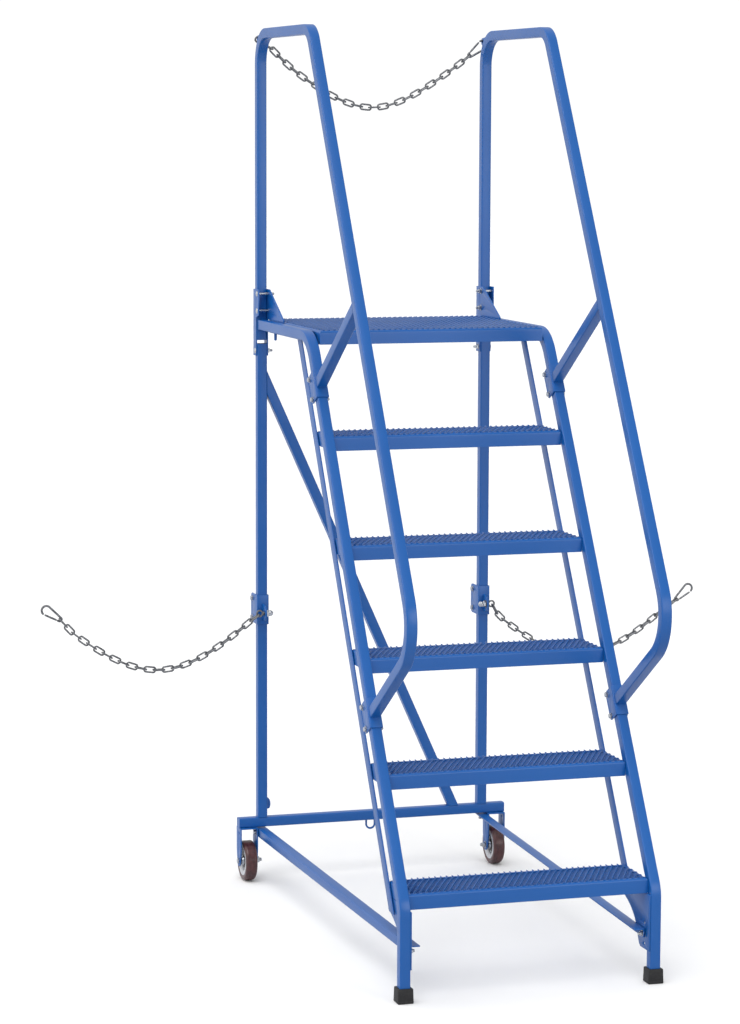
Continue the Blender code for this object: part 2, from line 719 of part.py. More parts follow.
def rear_brace():
    """Diagonal from the left rear post down to the cross member's right half."""
    head = point(-INNER_X + GAP, REAR_DEPTH, BRACE_HEAD_Z)
    foot = point(BRACE_FOOT_X, REAR_DEPTH, CROSS_TOP + GAP)
    tube("rear_brace", [head, foot], REARWARD, cuts=((head, ACROSS), (foot, UP)))


def lashing_loop():
    """Wire U under the cross member."""
    line = [(LOOP_X - LOOP_R, CROSS_UNDER)]
    line += arc(LOOP_X, CROSS_UNDER - LOOP_DROP, LOOP_R, 180, 360, 12)
    line += [(LOOP_X + LOOP_R, CROSS_UNDER)]
    path = [point(x, CROSS_DEPTH, z) for x, z in line]
    rod("lashing_loop", path, LOOP_WIRE, BLUE, point(LOOP_X, CROSS_DEPTH, CROSS_UNDER))


# ---------------------------------------------------------------- chains and snap hooks
CHAIN_SIZE = 7.0         # square section that stands for the links
HOOK_SMALL = 5.2         # radius of the small end
HOOK_BIG = 12.2
HOOK_SPAN = 43.5         # between the centres of the two ends
HOOK_WIRE = 2.5
HOOK_NOSE = 62           # degrees round the big end at which the wire starts
HOOK_TAIL = 28           # degrees past the small end's tangent point at which it stops
GATE_WIRE = 2.1
GATE_START = 6.2         # from the small end's tangent point
GATE_SHORT = 2.2         # short of the big end's tangent point


def hang(x, middle, low, steep, soft):
    """Height of a hanging chain: level at the middle, straightening towards its ends."""
    return low + steep * (math.hypot(x - middle, soft) - soft)


def chain(name, start, end, height, depth, origin, steps=22):
    """Square strip along the line z = height(x)."""
    stations = [start + (end - start) * i / steps for i in range(steps + 1)]
    path = [point(x, depth, height(x)) for x in stations]
    rod(name, path, CHAIN_SIZE / math.sqrt(2), ZINC, origin, sides=4, smooth=False)


def snap_hook(name, foot, angle, depth, side):
    """Drop-shaped wire hook and its straight gate.

    `foot` is the small end's (x, z) centre and `angle` points to the big end. Seen from the
    climbing side, the gate lies left of that direction for `side` +1 and right for -1.
    """
    cos, sin = math.cos(math.radians(angle)), math.sin(math.radians(angle))

    def place(along, across):
        across *= side
        return point(foot[0] + cos * along - sin * across, depth, foot[1] + sin * along + cos * across)

    tangent = 90 + math.degrees(math.asin((HOOK_BIG - HOOK_SMALL) / HOOK_SPAN))
    body = arc(HOOK_SPAN, 0, HOOK_BIG, HOOK_NOSE, -tangent, 12)
    body += arc(0, 0, HOOK_SMALL, -tangent, tangent + HOOK_TAIL - 360, 8)
    rod(name, [place(*p) for p in body], HOOK_WIRE, ZINC, place(0, 0))

    cos_t, sin_t = math.cos(math.radians(tangent)), math.sin(math.radians(tangent))
    start = place(HOOK_SMALL * cos_t, HOOK_SMALL * sin_t)
    end = place(HOOK_SPAN + HOOK_BIG * cos_t, HOOK_BIG * sin_t)
    way = (end - start).normalized()
    pivot = start + way * GATE_START * MM
    tip = end - way * GATE_SHORT * MM
    rod(name.replace("hook", "gate"), [pivot, tip], GATE_WIRE, ZINC, pivot)


PLATFORM_HANG = (0.0, 2084.5, 0.85, 150.0)  # middle, low, steep, soft
LIFT_START = 190.0       # left of the centre line
LIFT_RUN = 86.5
LIFT = 12.6
LIFT_FALL = 13.9         # fall per further run


def platform_line(x):
    """The platform chain, lifted near its left end: rising over one run, then easing off."""
    runs = max(0.0, -x - LIFT_START) / LIFT_RUN
    lift = LIFT * runs ** 2 if runs <= 1 else LIFT - LIFT_FALL * (runs - 1)
    return hang(x, *PLATFORM_HANG) + lift


def platform_chain():
    """Chain from the left tab, with its snap hook near the right tab."""
    origin = point(-TUBE_X, TAB_DEPTH, TAB_Z)
    chain("platform_chain", -TUBE_X + 9, TUBE_X - 44, platform_line, TAB_DEPTH, origin)
    foot_x = TUBE_X - 37
    foot = (foot_x, platform_line(foot_x) + 1.2)
    snap_hook("platform_snap_hook", foot, angle=38.0, depth=TAB_DEPTH, side=1)


TIE_REACH = 924.1        # outermost point of either tie chain's hook
TIE_START = EYE_X + EYE_R + EYE_WIRE + 2.5
TIE_ORIGIN_X = EYE_X + 6.2
TIE_HOOK_GAP = 10.0      # chain end inboard of the hook's small centre
TIE_CHAINS = (
    # label, sign, (middle, low, steep, soft), knee, extra slope beyond the knee, hook angle
    ("left", -1, (-604.0, 596.0, 1.058, 215.0), 840.0, 0.30, 145.0),
    ("right", 1, (594.0, 585.6, 1.12, 235.0), 812.0, -0.10, 40.5),
)


def tie_chain(label, sign, shape, knee, slope, angle):
    def line(x):
        return hang(x, *shape) + slope * max(0.0, sign * x - knee)

    hook_end = sign * (TIE_REACH - HOOK_BIG - HOOK_WIRE)
    foot_x = hook_end - HOOK_SPAN * math.cos(math.radians(angle))
    origin = point(sign * TIE_ORIGIN_X, EAR_DEPTH, EAR_Z)
    end = foot_x - sign * TIE_HOOK_GAP
    chain(f"tie_chain_{label}", sign * TIE_START, end, line, EAR_DEPTH, origin)
    snap_hook(f"tie_snap_hook_{label}", (foot_x, line(foot_x)), angle, EAR_DEPTH, -sign)


# ---------------------------------------------------------------- assembly
SIDE_PIECES = (
    stringer, back_bar, foot_gusset, rubber_foot, handrail, handrail_strut, saddles,
    platform_bracket, rear_post, chain_clamp, chain_eye, caster_fork, caster_wheel,
    caster_axle, side_bar, chain_tab,
)
for label, sign in (("left", -1), ("right", 1)):
    for build_piece in SIDE_PIECES:
        build_piece(label, sign)

steps()
cross_member()
rear_brace()
lashing_loop()
platform_chain()
for tie in TIE_CHAINS:
    tie_chain(*tie)
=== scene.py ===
"""Looks of a rolling warehouse ladder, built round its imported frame.

Sizes are millimetres. A place is x, depth, z: x runs across with right at +x, depth runs
backward (+y) from the front face of the front legs, and z is the height over the floor.
point() turns a place into metres in the frame. The main anchors are read from the frame's boxes."""

import math

import bmesh
import bpy
import numpy as np
from mathutils import Matrix, Vector


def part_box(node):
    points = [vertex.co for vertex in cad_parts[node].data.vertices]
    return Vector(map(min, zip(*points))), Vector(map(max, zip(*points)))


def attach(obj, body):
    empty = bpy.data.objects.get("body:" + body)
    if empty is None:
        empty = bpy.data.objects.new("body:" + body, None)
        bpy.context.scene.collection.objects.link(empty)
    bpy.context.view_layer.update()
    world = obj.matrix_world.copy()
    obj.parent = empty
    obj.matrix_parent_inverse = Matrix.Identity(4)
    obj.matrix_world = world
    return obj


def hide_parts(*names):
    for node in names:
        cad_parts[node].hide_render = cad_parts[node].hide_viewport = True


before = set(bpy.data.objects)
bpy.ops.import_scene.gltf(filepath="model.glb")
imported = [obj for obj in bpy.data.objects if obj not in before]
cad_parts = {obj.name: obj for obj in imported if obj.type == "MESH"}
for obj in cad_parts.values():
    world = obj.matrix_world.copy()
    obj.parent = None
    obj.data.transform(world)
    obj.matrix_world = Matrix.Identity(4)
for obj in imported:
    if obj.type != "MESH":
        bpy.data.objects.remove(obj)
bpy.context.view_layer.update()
scene = bpy.context.scene


def box_mm(node):
    low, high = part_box(node)
    return low * 1000, high * 1000


# ---------------------------------------------------------------- anchors and shared sizes
SIDES = (("left", -1), ("right", 1))

post_low, post_high = box_mm("rear_post_right")
TUBE = post_high.x - post_low.x
TUBE_X = (post_high.x + post_low.x) / 2           # centreline of the side tubes
INNER_X = TUBE_X - TUBE / 2                       # their inner face
REAR_DEPTH = 1289.0                               # centreline of the rear posts
ORIGIN_DEPTH = REAR_DEPTH - (post_low.y + post_high.y) / 2
POST_TOP = post_high.z

stringer_low, stringer_high = box_mm("stringer_right")
STRINGER_FOOT = stringer_low.z
RAIL_TOP = stringer_high.z
RAIL_END = stringer_high.y + ORIGIN_DEPTH
HANDRAIL_TOP = box_mm("handrail_right")[1].z

cross_low, cross_high = box_mm("cross_member")
CROSS_TOP, CROSS_SIZE = cross_high.z, cross_high.z - cross_low.z
CROSS_Z = CROSS_TOP - CROSS_SIZE / 2
CROSS_END_X = cross_high.x
CROSS_DEPTH = (cross_low.y + cross_high.y) / 2 + ORIGIN_DEPTH

wheel_low, wheel_high = box_mm("wheel_tyre_right")
WHEEL_RADIUS = (wheel_high.z - wheel_low.z) / 2
WHEEL_X = (wheel_high.x + wheel_low.x) / 2
WHEEL_HALF = (wheel_high.x - wheel_low.x) / 2     # half the tyre's width
fork_low, fork_high = box_mm("caster_fork_right")
FORK_INNER, FORK_OUTER = fork_low.x, fork_high.x

# Sloping front faces: depth = FRONT + SLOPE * z. LEAN is depth across per unit of thickness.
STRINGER_FRONT, STRINGER_SLOPE = -141.5, 0.616
HAND_FRONT, HAND_SLOPE = -612.3, 0.615
STRINGER_LEAN = math.hypot(1, STRINGER_SLOPE)
HAND_LEAN = math.hypot(1, HAND_SLOPE)
# Centrelines of handrail return and strut: depth = start - RETURN_SLOPE * z.
RETURN_START, STRUT_START, RETURN_SLOPE = 1234.5, 2841.8, 1.52
HAND_POST_DEPTH, HAND_POST_FOOT = 1293.0, 1468.5

PLATE, GAP = 3.0, 0.3                             # bracket sheet, and its play on the tube
PLATE_REACH = TUBE / 2 + GAP + PLATE              # tube centre to a bracket's outer face
WELD_GAP = 0.05
EYE_DEPTH, EYE_Z = 1253.0, 736.0
EYE_RADIUS, EYE_WIRE = 8.0, 2.4
EYE_X = TUBE_X + 4.0 + EYE_RADIUS + EYE_WIRE      # centre of the eye ring


def point(x, depth, z):
    return Vector((x, depth - ORIGIN_DEPTH, z)) * 0.001


def return_meets(start, front, slope):
    """Height at which a return line from `start` crosses a sloping line."""
    return (start - front) / (slope + RETURN_SLOPE)


HAND_FOOT_Z = return_meets(RETURN_START, STRINGER_FRONT, STRINGER_SLOPE)
STRUT_FOOT_Z = return_meets(STRUT_START, STRINGER_FRONT, STRINGER_SLOPE)


# ---------------------------------------------------------------- node graphs
class Graph:
    """The node tree of a material or a world."""

    def __init__(self, owner):
        owner.use_nodes = True
        self.nodes, self.links = owner.node_tree.nodes, owner.node_tree.links

    def feed(self, socket, value):
        """Link a socket to another node's output, or set its value. Colours are RGB."""
        if hasattr(value, "is_linked"):
            self.links.new(value, socket)
        elif socket.type == "RGBA":
            socket.default_value = (*value, 1.0)
        else:
            socket.default_value = value

    def node(self, kind, inputs, **settings):
        node = self.nodes.new(kind)
        for key, value in settings.items():
            setattr(node, key, value)
        for key, value in inputs.items():
            self.feed(node.inputs[key], value)
        return node

    def span(self, value, low, high, start=0.3, end=0.7, **settings):
        """Map start..end onto low..high."""
        inputs = {"Value": value, "From Min": start, "From Max": end, "To Min": low, "To Max": high}
        return self.node("ShaderNodeMapRange", inputs, **settings).outputs["Result"]

    def maths(self, operation, first, second):
        inputs = {0: first, 1: second}
        return self.node("ShaderNodeMath", inputs, operation=operation).outputs[0]


class Shader(Graph):
    """A Principled material with textures in object space, in metres."""

    def __init__(self, name):
        self.mat = bpy.data.materials.new(name)
        super().__init__(self.mat)
        self.coord = self.node("ShaderNodeTexCoord", {}).outputs["Object"]

    def surface(self, inputs):
        """Feed the Principled node and hand over the material."""
        for key, value in inputs.items():
            self.feed(self.nodes["Principled BSDF"].inputs[key], value)
        return self.mat

    def noise(self, scale, detail=3.0, roughness=0.55, stretch=None):
        vector = self.coord
        if stretch:
            mapping = self.node("ShaderNodeMapping", {"Vector": vector, "Scale": stretch})
            vector = mapping.outputs["Vector"]
        inputs = {"Vector": vector, "Scale": scale, "Detail": detail, "Roughness": roughness}
        return self.node("ShaderNodeTexNoise", inputs).outputs["Fac"]

    def patches(self, scale, low=0.0, high=1.0, start=0.3, end=0.7, **noise):
        """Noise with its start..end band spread over low..high."""
        return self.span(self.noise(scale, **noise), low, high, start, end)

    def voronoi(self, scale):
        inputs = {"Vector": self.coord, "Scale": scale}
        return self.node("ShaderNodeTexVoronoi", inputs).outputs["Distance"]

    def mix(self, factor, first, second):
        inputs = {0: factor, 6: first, 7: second}
        return self.node("ShaderNodeMix", inputs, data_type="RGBA").outputs[2]

    def bump(self, height, strength, distance, under=None):
        """Bump of `distance` metres, on top of the normal `under` if there is one."""
        inputs = {"Height": height, "Strength": strength, "Distance": distance}
        if under:
            inputs["Normal"] = under
        return self.node("ShaderNodeBump", inputs).outputs["Normal"]

    def up(self):
        """How far the surface faces upward."""
        normal = self.node("ShaderNodeNewGeometry", {}).outputs["Normal"]
        return self.node("ShaderNodeSeparateXYZ", {0: normal}).outputs[2]


# ---------------------------------------------------------------- materials
def powder_coat():
    """Semi-gloss blue coat: orange peel, colour drift, a faint painted pale sheen on upward faces, faint
    rubs.
    """
    s = Shader("blue_powder_coat")
    deep, light, speckle = (0.0015, 0.090, 0.350), (0.0030, 0.102, 0.385), (0.008, 0.14, 0.50)
    pale_top_sheen = (0.22, 0.28, 0.44)
    colour = s.mix(s.patches(scale=2.6, detail=2.0), deep, light)
    speck = s.patches(scale=2400.0, detail=2.0, high=0.12, start=0.50, end=0.80)
    colour = s.mix(speck, colour, speckle)
    # Upward faces turn, in patches, toward a pale lavender, the colour of the coat's lit top faces: a
    # painted top sheen.
    upward = s.span(s.up(), low=0.0, high=0.010, start=0.60, end=1.0)
    top_sheen_mask = s.maths("MULTIPLY", upward, s.patches(scale=24.0, detail=5.0, low=0.35))
    rough = s.patches(scale=6.0, low=0.29, high=0.34)
    scuff = s.patches(
        scale=160.0, detail=6.0, roughness=0.7, stretch=(1, 1, 0.12),
        high=0.05, start=0.66, end=0.80,
    )
    peel = s.bump(s.noise(scale=420.0, detail=2.0, roughness=0.5), strength=0.16, distance=0.00010)
    fine = s.noise(scale=1500.0, detail=1.0)
    return s.surface({
        "Base Color": s.mix(top_sheen_mask, colour, pale_top_sheen),
        "Roughness": s.maths("ADD", rough, scuff),
        "IOR": 1.48,
        "Normal": s.bump(fine, strength=0.08, distance=0.00003, under=peel),
    })


def zinc_plate():
    """Bright zinc of bolts and nuts: cool grey, faint warm bloom, fine turning marks."""
    s = Shader("zinc_plate")
    cool, warm, dirt = (0.42, 0.45, 0.50), (0.52, 0.53, 0.54), (0.20, 0.20, 0.21)
    colour = s.mix(s.patches(scale=90.0, detail=4.0), cool, warm)
    grime = s.patches(scale=520.0, detail=4.0, high=0.45, start=0.58, end=0.80)
    marks = s.noise(scale=900.0, detail=3.0, roughness=0.6, stretch=(1, 1, 8))
    return s.surface({
        "Base Color": s.mix(grime, colour, dirt),
        "Metallic": 1.0,
        "Roughness": s.patches(scale=260.0, detail=5.0, low=0.20, high=0.38),
        "Normal": s.bump(marks, strength=0.25, distance=0.00006),
    })


def chain_steel():
    """Dull zinc of chains and wire hooks, in darker and lighter patches."""
    s = Shader("chain_steel")
    dark, light = (0.12, 0.125, 0.135), (0.22, 0.225, 0.235)
    return s.surface({
        "Base Color": s.mix(s.patches(scale=140.0, detail=4.0, start=0.35, end=0.65), dark, light),
        "Metallic": 0.85,
        "Roughness": s.patches(scale=320.0, detail=5.0, low=0.32, high=0.52),
        "Normal": s.bump(s.noise(scale=1200.0), strength=0.35, distance=0.00006),
    })


def bright_chrome():
    """Polished chrome of the domed nuts: faint haze and pin specks."""
    s = Shader("bright_chrome")
    clear, hazy, pin = (0.42, 0.44, 0.47), (0.54, 0.55, 0.57), (0.25, 0.25, 0.26)
    colour = s.mix(s.patches(scale=70.0, detail=4.0), clear, hazy)
    specks = s.patches(scale=900.0, high=0.5, start=0.66, end=0.80)
    return s.surface({
        "Base Color": s.mix(specks, colour, pin),
        "Metallic": 1.0,
        "Roughness": s.patches(scale=180.0, detail=5.0, low=0.07, high=0.16),
        "Normal": s.bump(s.noise(scale=700.0, detail=2.0), strength=0.10, distance=0.00003),
    })


def tyre_stuff():
    """Dark maroon polyurethane: mottled, a little glossy, with pale grit."""
    s = Shader("maroon_tyre")
    dark, light, pale_grit = (0.042, 0.009, 0.010), (0.090, 0.023, 0.024), (0.22, 0.13, 0.11)
    drift = s.patches(scale=60.0, detail=5.0, roughness=0.65, start=0.35, end=0.68)
    grit = s.patches(scale=380.0, detail=5.0, roughness=0.7, high=0.5, start=0.62, end=0.80)
    rib = s.noise(scale=700.0, detail=3.0, roughness=0.6, stretch=(6, 1, 1))
    pitting = s.bump(s.voronoi(scale=260.0), strength=0.12, distance=0.0002)
    return s.surface({
        "Base Color": s.mix(grit, s.mix(drift, dark, light), pale_grit),
        "Roughness": s.patches(scale=120.0, detail=5.0, low=0.30, high=0.52),
        "Coat Weight": 0.25,
        "Coat Roughness": 0.2,
        "Normal": s.bump(rib, strength=0.35, distance=0.00025, under=pitting),
    })


def cast_hub(name, base, patch, metallic):
    """Patchy, finely grained casting of the wheel centres."""
    s = Shader(name)
    return s.surface({
        "Base Color": s.mix(s.patches(scale=75.0, detail=5.0), base, patch),
        "Metallic": metallic,
        "Roughness": s.patches(scale=240.0, detail=4.0, low=0.30, high=0.50),
        "Normal": s.bump(s.noise(scale=800.0, detail=4.0), strength=0.3, distance=0.00012),
    })


def foot_rubber():
    """Moulded black rubber: matt, finely grained, with grey scuffs."""
    s = Shader("foot_rubber")
    black, grey = (0.008, 0.008, 0.009), (0.045, 0.044, 0.042)
    scuff = s.patches(scale=130.0, detail=6.0, roughness=0.7, high=0.55, start=0.52, end=0.80)
    grain = s.bump(s.voronoi(scale=900.0), strength=0.3, distance=0.00015)
    return s.surface({
        "Base Color": s.mix(scuff, black, grey),
        "Roughness": s.patches(scale=500.0, detail=4.0, low=0.55, high=0.80),
        "Normal": s.bump(s.noise(scale=70.0), strength=0.2, distance=0.0003, under=grain),
    })


BLUE = powder_coat()
ZINC = zinc_plate()
CHAIN = chain_steel()
CHROME = bright_chrome()
TYRE = tyre_stuff()
CORE = cast_hub("wheel_core", (0.62, 0.63, 0.66), (0.50, 0.51, 0.53), metallic=0.15)
SEAL = cast_hub("bearing_seal", (0.014, 0.014, 0.015), (0.03, 0.03, 0.032), metallic=0.0)
RUBBER = foot_rubber()


# ---------------------------------------------------------------- mesh building
class Build:
    """Collects the shells of one piece and makes the object."""

    def __init__(self):
        self.verts, self.faces = [], []

    def add(self, verts, faces):
        start = len(self.verts)
        self.verts += [Vector(v) for v in verts]
        self.faces += [tuple(i + start for i in face) for face in faces]
        return self

    def make(self, name, mat, body, replaces=(), angle=38.0, bevel=0.0):
        mesh = bpy.data.meshes.new(name)
        mesh.from_pydata([tuple(v) for v in self.verts], [], self.faces)
        work = bmesh.new()
        work.from_mesh(mesh)
        bmesh.ops.recalc_face_normals(work, faces=work.faces)
        work.to_mesh(mesh)
        work.free()
        place(name, mesh, mat, body, replaces, angle, bevel)


def place(name, mesh, mat, body, replaces=(), angle=38.0, bevel=0.0):
    """Put a mesh in the scene, with edges over `angle` degrees kept sharp."""
    obj = bpy.data.objects.new(name, mesh)
    scene.collection.objects.link(obj)
    mesh.materials.append(mat)
    mesh.shade_smooth()
    mesh.set_sharp_from_angle(angle=math.radians(angle))
    if bevel:
        round_edges(obj, bevel)
    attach(obj, body)
    if replaces:
        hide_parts(*replaces)


def round_edges(obj, width):
    soft = obj.modifiers.new("edges", "BEVEL")
    soft.width = width * 0.001
    soft.segments = 2
    soft.limit_method = "ANGLE"
    soft.angle_limit = math.radians(40)


def band(rings, per, loop=False):
    """Quads between successive rings of `per` points. `loop` joins the last to the first."""
    faces = []
    for r in range(rings if loop else rings - 1):
        here, after = r * per, (r + 1) % rings * per
        for k in range(per):
            j = (k + 1) % per
            faces.append((here + k, here + j, after + j, after + k))
    return faces


def end_rings(rings, per):
    return range(per), range((rings - 1) * per, rings * per)


def rounded_square(size, corner, steps=5):
    reach = size / 2 - corner
    outline = []
    for quarter, (x, y) in enumerate(((1, 1), (-1, 1), (-1, -1), (1, -1))):
        for i in range(steps + 1):
            a = math.radians(90 * quarter + 90 * i / steps)
            outline.append((x * reach + corner * math.cos(a), y * reach + corner * math.sin(a)))
    return outline


def bent_path(points, radii, steps=22):
    """Flat path through `points`, with each inner corner rounded to its radius."""
    path = [Vector(points[0])]
    for before, corner, after, radius in zip(points, points[1:], points[2:], radii):
        corner = Vector(corner)
        to_before = (Vector(before) - corner).normalized()
        to_after = (Vector(after) - corner).normalized()
        half = math.acos(max(-1, min(1, to_before.dot(to_after)))) / 2
        reach = radius / math.tan(half)
        middle = corner + (to_before + to_after).normalized() * (radius / math.sin(half))
        start = corner + to_before * reach - middle
        end = corner + to_after * reach - middle
        turn = math.atan2(start.x * end.y - start.y * end.x, start.dot(end))
        for i in range(steps + 1):
            cos, sin = math.cos(turn * i / steps), math.sin(turn * i / steps)
            path.append(middle + Vector((start.x * cos - start.y * sin, start.x * sin + start.y * cos)))
    path.append(Vector(points[-1]))
    return path


def tube(name, path, side, replaces, size=TUBE, wall=1.8, corner=2.4, cuts=(None, None)):
    """Hollow square tube. Each cut is (point, normal) of the plane that trims that end."""
    side = Vector(side)
    outline = rounded_square(size, corner)
    inner = rounded_square(size - 2 * wall, max(corner - wall, 0.6))
    rings = []
    for i, centre in enumerate(path):
        ahead = (path[min(i + 1, len(path) - 1)] - path[max(i - 1, 0)]).normalized()
        other = ahead.cross(side).normalized()
        ring = [centre + (side * a + other * b) * 0.001 for a, b in outline + inner]
        cut = cuts[0] if i == 0 else cuts[1] if i == len(path) - 1 else None
        if cut:
            origin, normal = Vector(cut[0]), Vector(cut[1])
            run = (path[1] - path[0] if i == 0 else path[-1] - path[-2]).normalized()
            ring = [v + run * ((origin - v).dot(normal) / run.dot(normal)) for v in ring]
        rings.append(ring)
    n = len(outline)
    faces = []
    for r in range(len(rings) - 1):
        a, b = r * 2 * n, (r + 1) * 2 * n
        for i in range(n):
            j = (i + 1) % n
            faces.append((a + i, a + j, b + j, b + i))
            faces.append((a + n + j, a + n + i, b + n + i, b + n + j))
    last = (len(rings) - 1) * 2 * n
    for i in range(n):
        j = (i + 1) % n
        faces.append((i, n + i, n + j, j))
        faces.append((last + i, last + j, last + n + j, last + n + i))
    verts = [v for ring in rings for v in ring]
    Build().add(verts, faces).make(name, BLUE, "ladder", replaces, angle=50)


def wire(path, radius, normal, sides=16, closed=False):
    """Verts and faces of a round wire. `radius` may be one value or one for each point."""
    normal = Vector(normal).normalized()
    count = len(path)
    radii = radius if isinstance(radius, list) else [radius] * count
    verts = []
    for i, centre in enumerate(path):
        if closed:
            ahead = (path[(i + 1) % count] - path[i - 1]).normalized()
        else:
            ahead = (path[min(i + 1, count - 1)] - path[max(i - 1, 0)]).normalized()
        other = ahead.cross(normal).normalized()
        axis = other.cross(ahead).normalized()
        for k in range(sides):
            a = 2 * math.pi * (k + 0.5) / sides
            verts.append(centre + (axis * math.cos(a) + other * math.sin(a)) * radii[i] * 0.001)
    faces = band(count, sides, closed)
    if not closed:
        first, last = end_rings(count, sides)
        faces += [first, last[::-1]]
    return verts, faces


def box(middle, halves):
    """Verts and faces of a box from its half sizes."""
    a, b, c = halves
    verts = [middle + Vector((x, y, z)) * 0.001 for x in (-a, a) for y in (-b, b) for z in (-c, c)]
    faces = [(0, 1, 3, 2), (4, 6, 7, 5), (0, 4, 5, 1), (2, 3, 7, 6), (0, 2, 6, 4), (1, 5, 7, 3)]
    return verts, faces


def turned(profile, origin, axis, sides=24, hexes=()):
    """Solid turned about `axis` from (distance along, radius) pairs.

    Rings whose index is in `hexes` are hexagons, with the radius as half the flats."""
    axis = Vector(axis).normalized()
    seed = Vector((0, 0, 1)) if abs(axis.z) < 0.9 else Vector((1, 0, 0))
    u = axis.cross(seed).normalized()
    v = axis.cross(u)
    verts = []
    for index, (along, radius) in enumerate(profile):
        for k in range(sides):
            a = 2 * math.pi * k / sides
            reach = radius
            if index in hexes:
                reach /= math.cos((a + math.pi / 6) % (math.pi / 3) - math.pi / 6)
            spoke = (u * math.cos(a) + v * math.sin(a)) * reach
            verts.append(origin + (axis * along + spoke) * 0.001)
    first, last = end_rings(len(profile), sides)
    return verts, band(len(profile), sides) + [first[::-1], last]


# ---------------------------------------------------------------- fasteners
WASHER = 1.4


def add_washer(build, at, axis, half):
    profile = [(0.0, half * 1.28), (0.15, half * 1.36), (1.25, half * 1.36), (WASHER, half * 1.28)]
    build.add(*turned(profile, at, axis, 36))


def hex_head(build, at, axis, flats, tall=4.6, washer=True):
    """Bolt head, on a washer or bare. `axis` points out of the plate."""
    half = flats / 2
    base = 0.0
    if washer:
        add_washer(build, at, axis, half)
        base = WASHER
    top = base + tall
    profile = [
        (base, half * 0.96), (base + 0.4, half * 0.97), (base + 0.5, half),
        (top - 0.9, half), (top, half * 0.90), (top, half * 0.2),
    ]
    build.add(*turned(profile, at, axis, 48, hexes=(1, 2, 3)))


def nut_and_tip(build, at, axis, flats, tall=5.6, radius=3.6, proud=5.0):
    """Washer, chamfered nut and the thread that stands `proud` of it."""
    half = flats / 2
    add_washer(build, at, axis, half)
    top = WASHER + tall
    profile = [(WASHER, half * 0.9), (WASHER + 0.8, half), (top - 0.8, half)]
    profile += [(top, half * 0.9), (top, radius + 0.2)]
    build.add(*turned(profile, at, axis, 48, hexes=(1, 2)))
    root, along = radius - 0.5, top - 1.0
    thread = [(along, root)]
    while along < top + proud - 1.2:
        thread += [(along + 0.30, root), (along + 0.62, radius)]
        thread += [(along + 0.78, radius), (along + 1.15, root)]
        along += 1.25
    thread += [(along + 0.4, radius - 0.7), (along + 0.9, radius - 1.5)]
    build.add(*turned(thread, at, axis))


def dome_head(build, at, axis, radius=7.4):
    """Low round head of a carriage bolt."""
    profile = [(0.0, radius * 0.96), (0.4, radius), (1.0, radius * 0.97), (1.9, radius * 0.82)]
    profile += [(2.7, radius * 0.58), (3.2, radius * 0.3), (3.35, 0.4)]
    build.add(*turned(profile, at, axis, 36))


def through_bolt(build, head_at, nut_at, flats=10.8, proud=5.0, radius=3.6, dome=False):
    """A whole bolt between two plate faces."""
    axis = (head_at - nut_at).normalized()
    if dome:
        dome_head(build, head_at, axis)
    else:
        hex_head(build, head_at, axis, flats)
    nut_and_tip(build, nut_at, -axis, flats, proud=proud, radius=radius)
    span = (head_at - nut_at).length * 1000
    shank = [(-0.5, radius * 0.94), (span + 0.5, radius * 0.94)]
    build.add(*turned(shank, nut_at, axis, 20))


def plate_bolt(build, sign, depth, z):
    """Bolt across a side tube's two bracket plates, with its head at -x."""
    ends = [point(sign * TUBE_X + reach, depth, z) for reach in (-PLATE_REACH, PLATE_REACH)]
    through_bolt(build, *ends, proud=3.5)


# ---------------------------------------------------------------- tubes
X = Vector((1, 0, 0))
# Directions as (depth, z): up along the stringer, and square to it, backward and down.
ALONG = Vector((STRINGER_SLOPE / STRINGER_LEAN, 1 / STRINGER_LEAN))
BACKWARD = Vector((1 / STRINGER_LEAN, -STRINGER_SLOPE / STRINGER_LEAN))
BACKWARD_3D = Vector((0, BACKWARD.x, BACKWARD.y))


def saddle_cut(sign):
    """Plane of the saddle plate's front, which ends the handrail and the strut."""
    front = point(sign * TUBE_X, STRINGER_FRONT, 0)
    return front - BACKWARD_3D * (0.4 + PLATE + WELD_GAP) * 0.001, BACKWARD_3D


def stringer(side, sign):
    """Upright front leg, sloping stringer and level rail in one bent tube."""
    centre = STRINGER_FRONT + TUBE / 2 * STRINGER_LEAN
    knee_z = (TUBE / 2 - centre) / STRINGER_SLOPE
    rail_z = RAIL_TOP - TUBE / 2
    corners = [
        (TUBE / 2, STRINGER_FOOT), (TUBE / 2, knee_z),
        (centre + STRINGER_SLOPE * rail_z, rail_z), (RAIL_END, rail_z),
    ]
    path = [point(sign * TUBE_X, depth, z) for depth, z in bent_path(corners, [75.0, 105.0])]
    tube(f"stringer_tube_{side}", path, X, (f"stringer_{side}",))


def handrail(side, sign):
    """Rear upright, level top, sloping rail and its return to the stringer."""
    centre = HAND_FRONT + TUBE / 2 * HAND_LEAN
    top_z = HANDRAIL_TOP - TUBE / 2
    corners = [
        (HAND_POST_DEPTH, HAND_POST_FOOT), (HAND_POST_DEPTH, top_z),
        (centre + HAND_SLOPE * top_z, top_z),
    ]
    for z in (return_meets(RETURN_START, centre, HAND_SLOPE), HAND_FOOT_Z):
        corners.append((RETURN_START - RETURN_SLOPE * z, z))
    line = bent_path(corners, [80.0, 65.0, 115.0])
    path = [point(sign * TUBE_X, depth, z) for depth, z in line]
    cuts = (None, saddle_cut(sign))
    tube(f"handrail_tube_{side}", path, X, (f"handrail_{side}",), cuts=cuts)


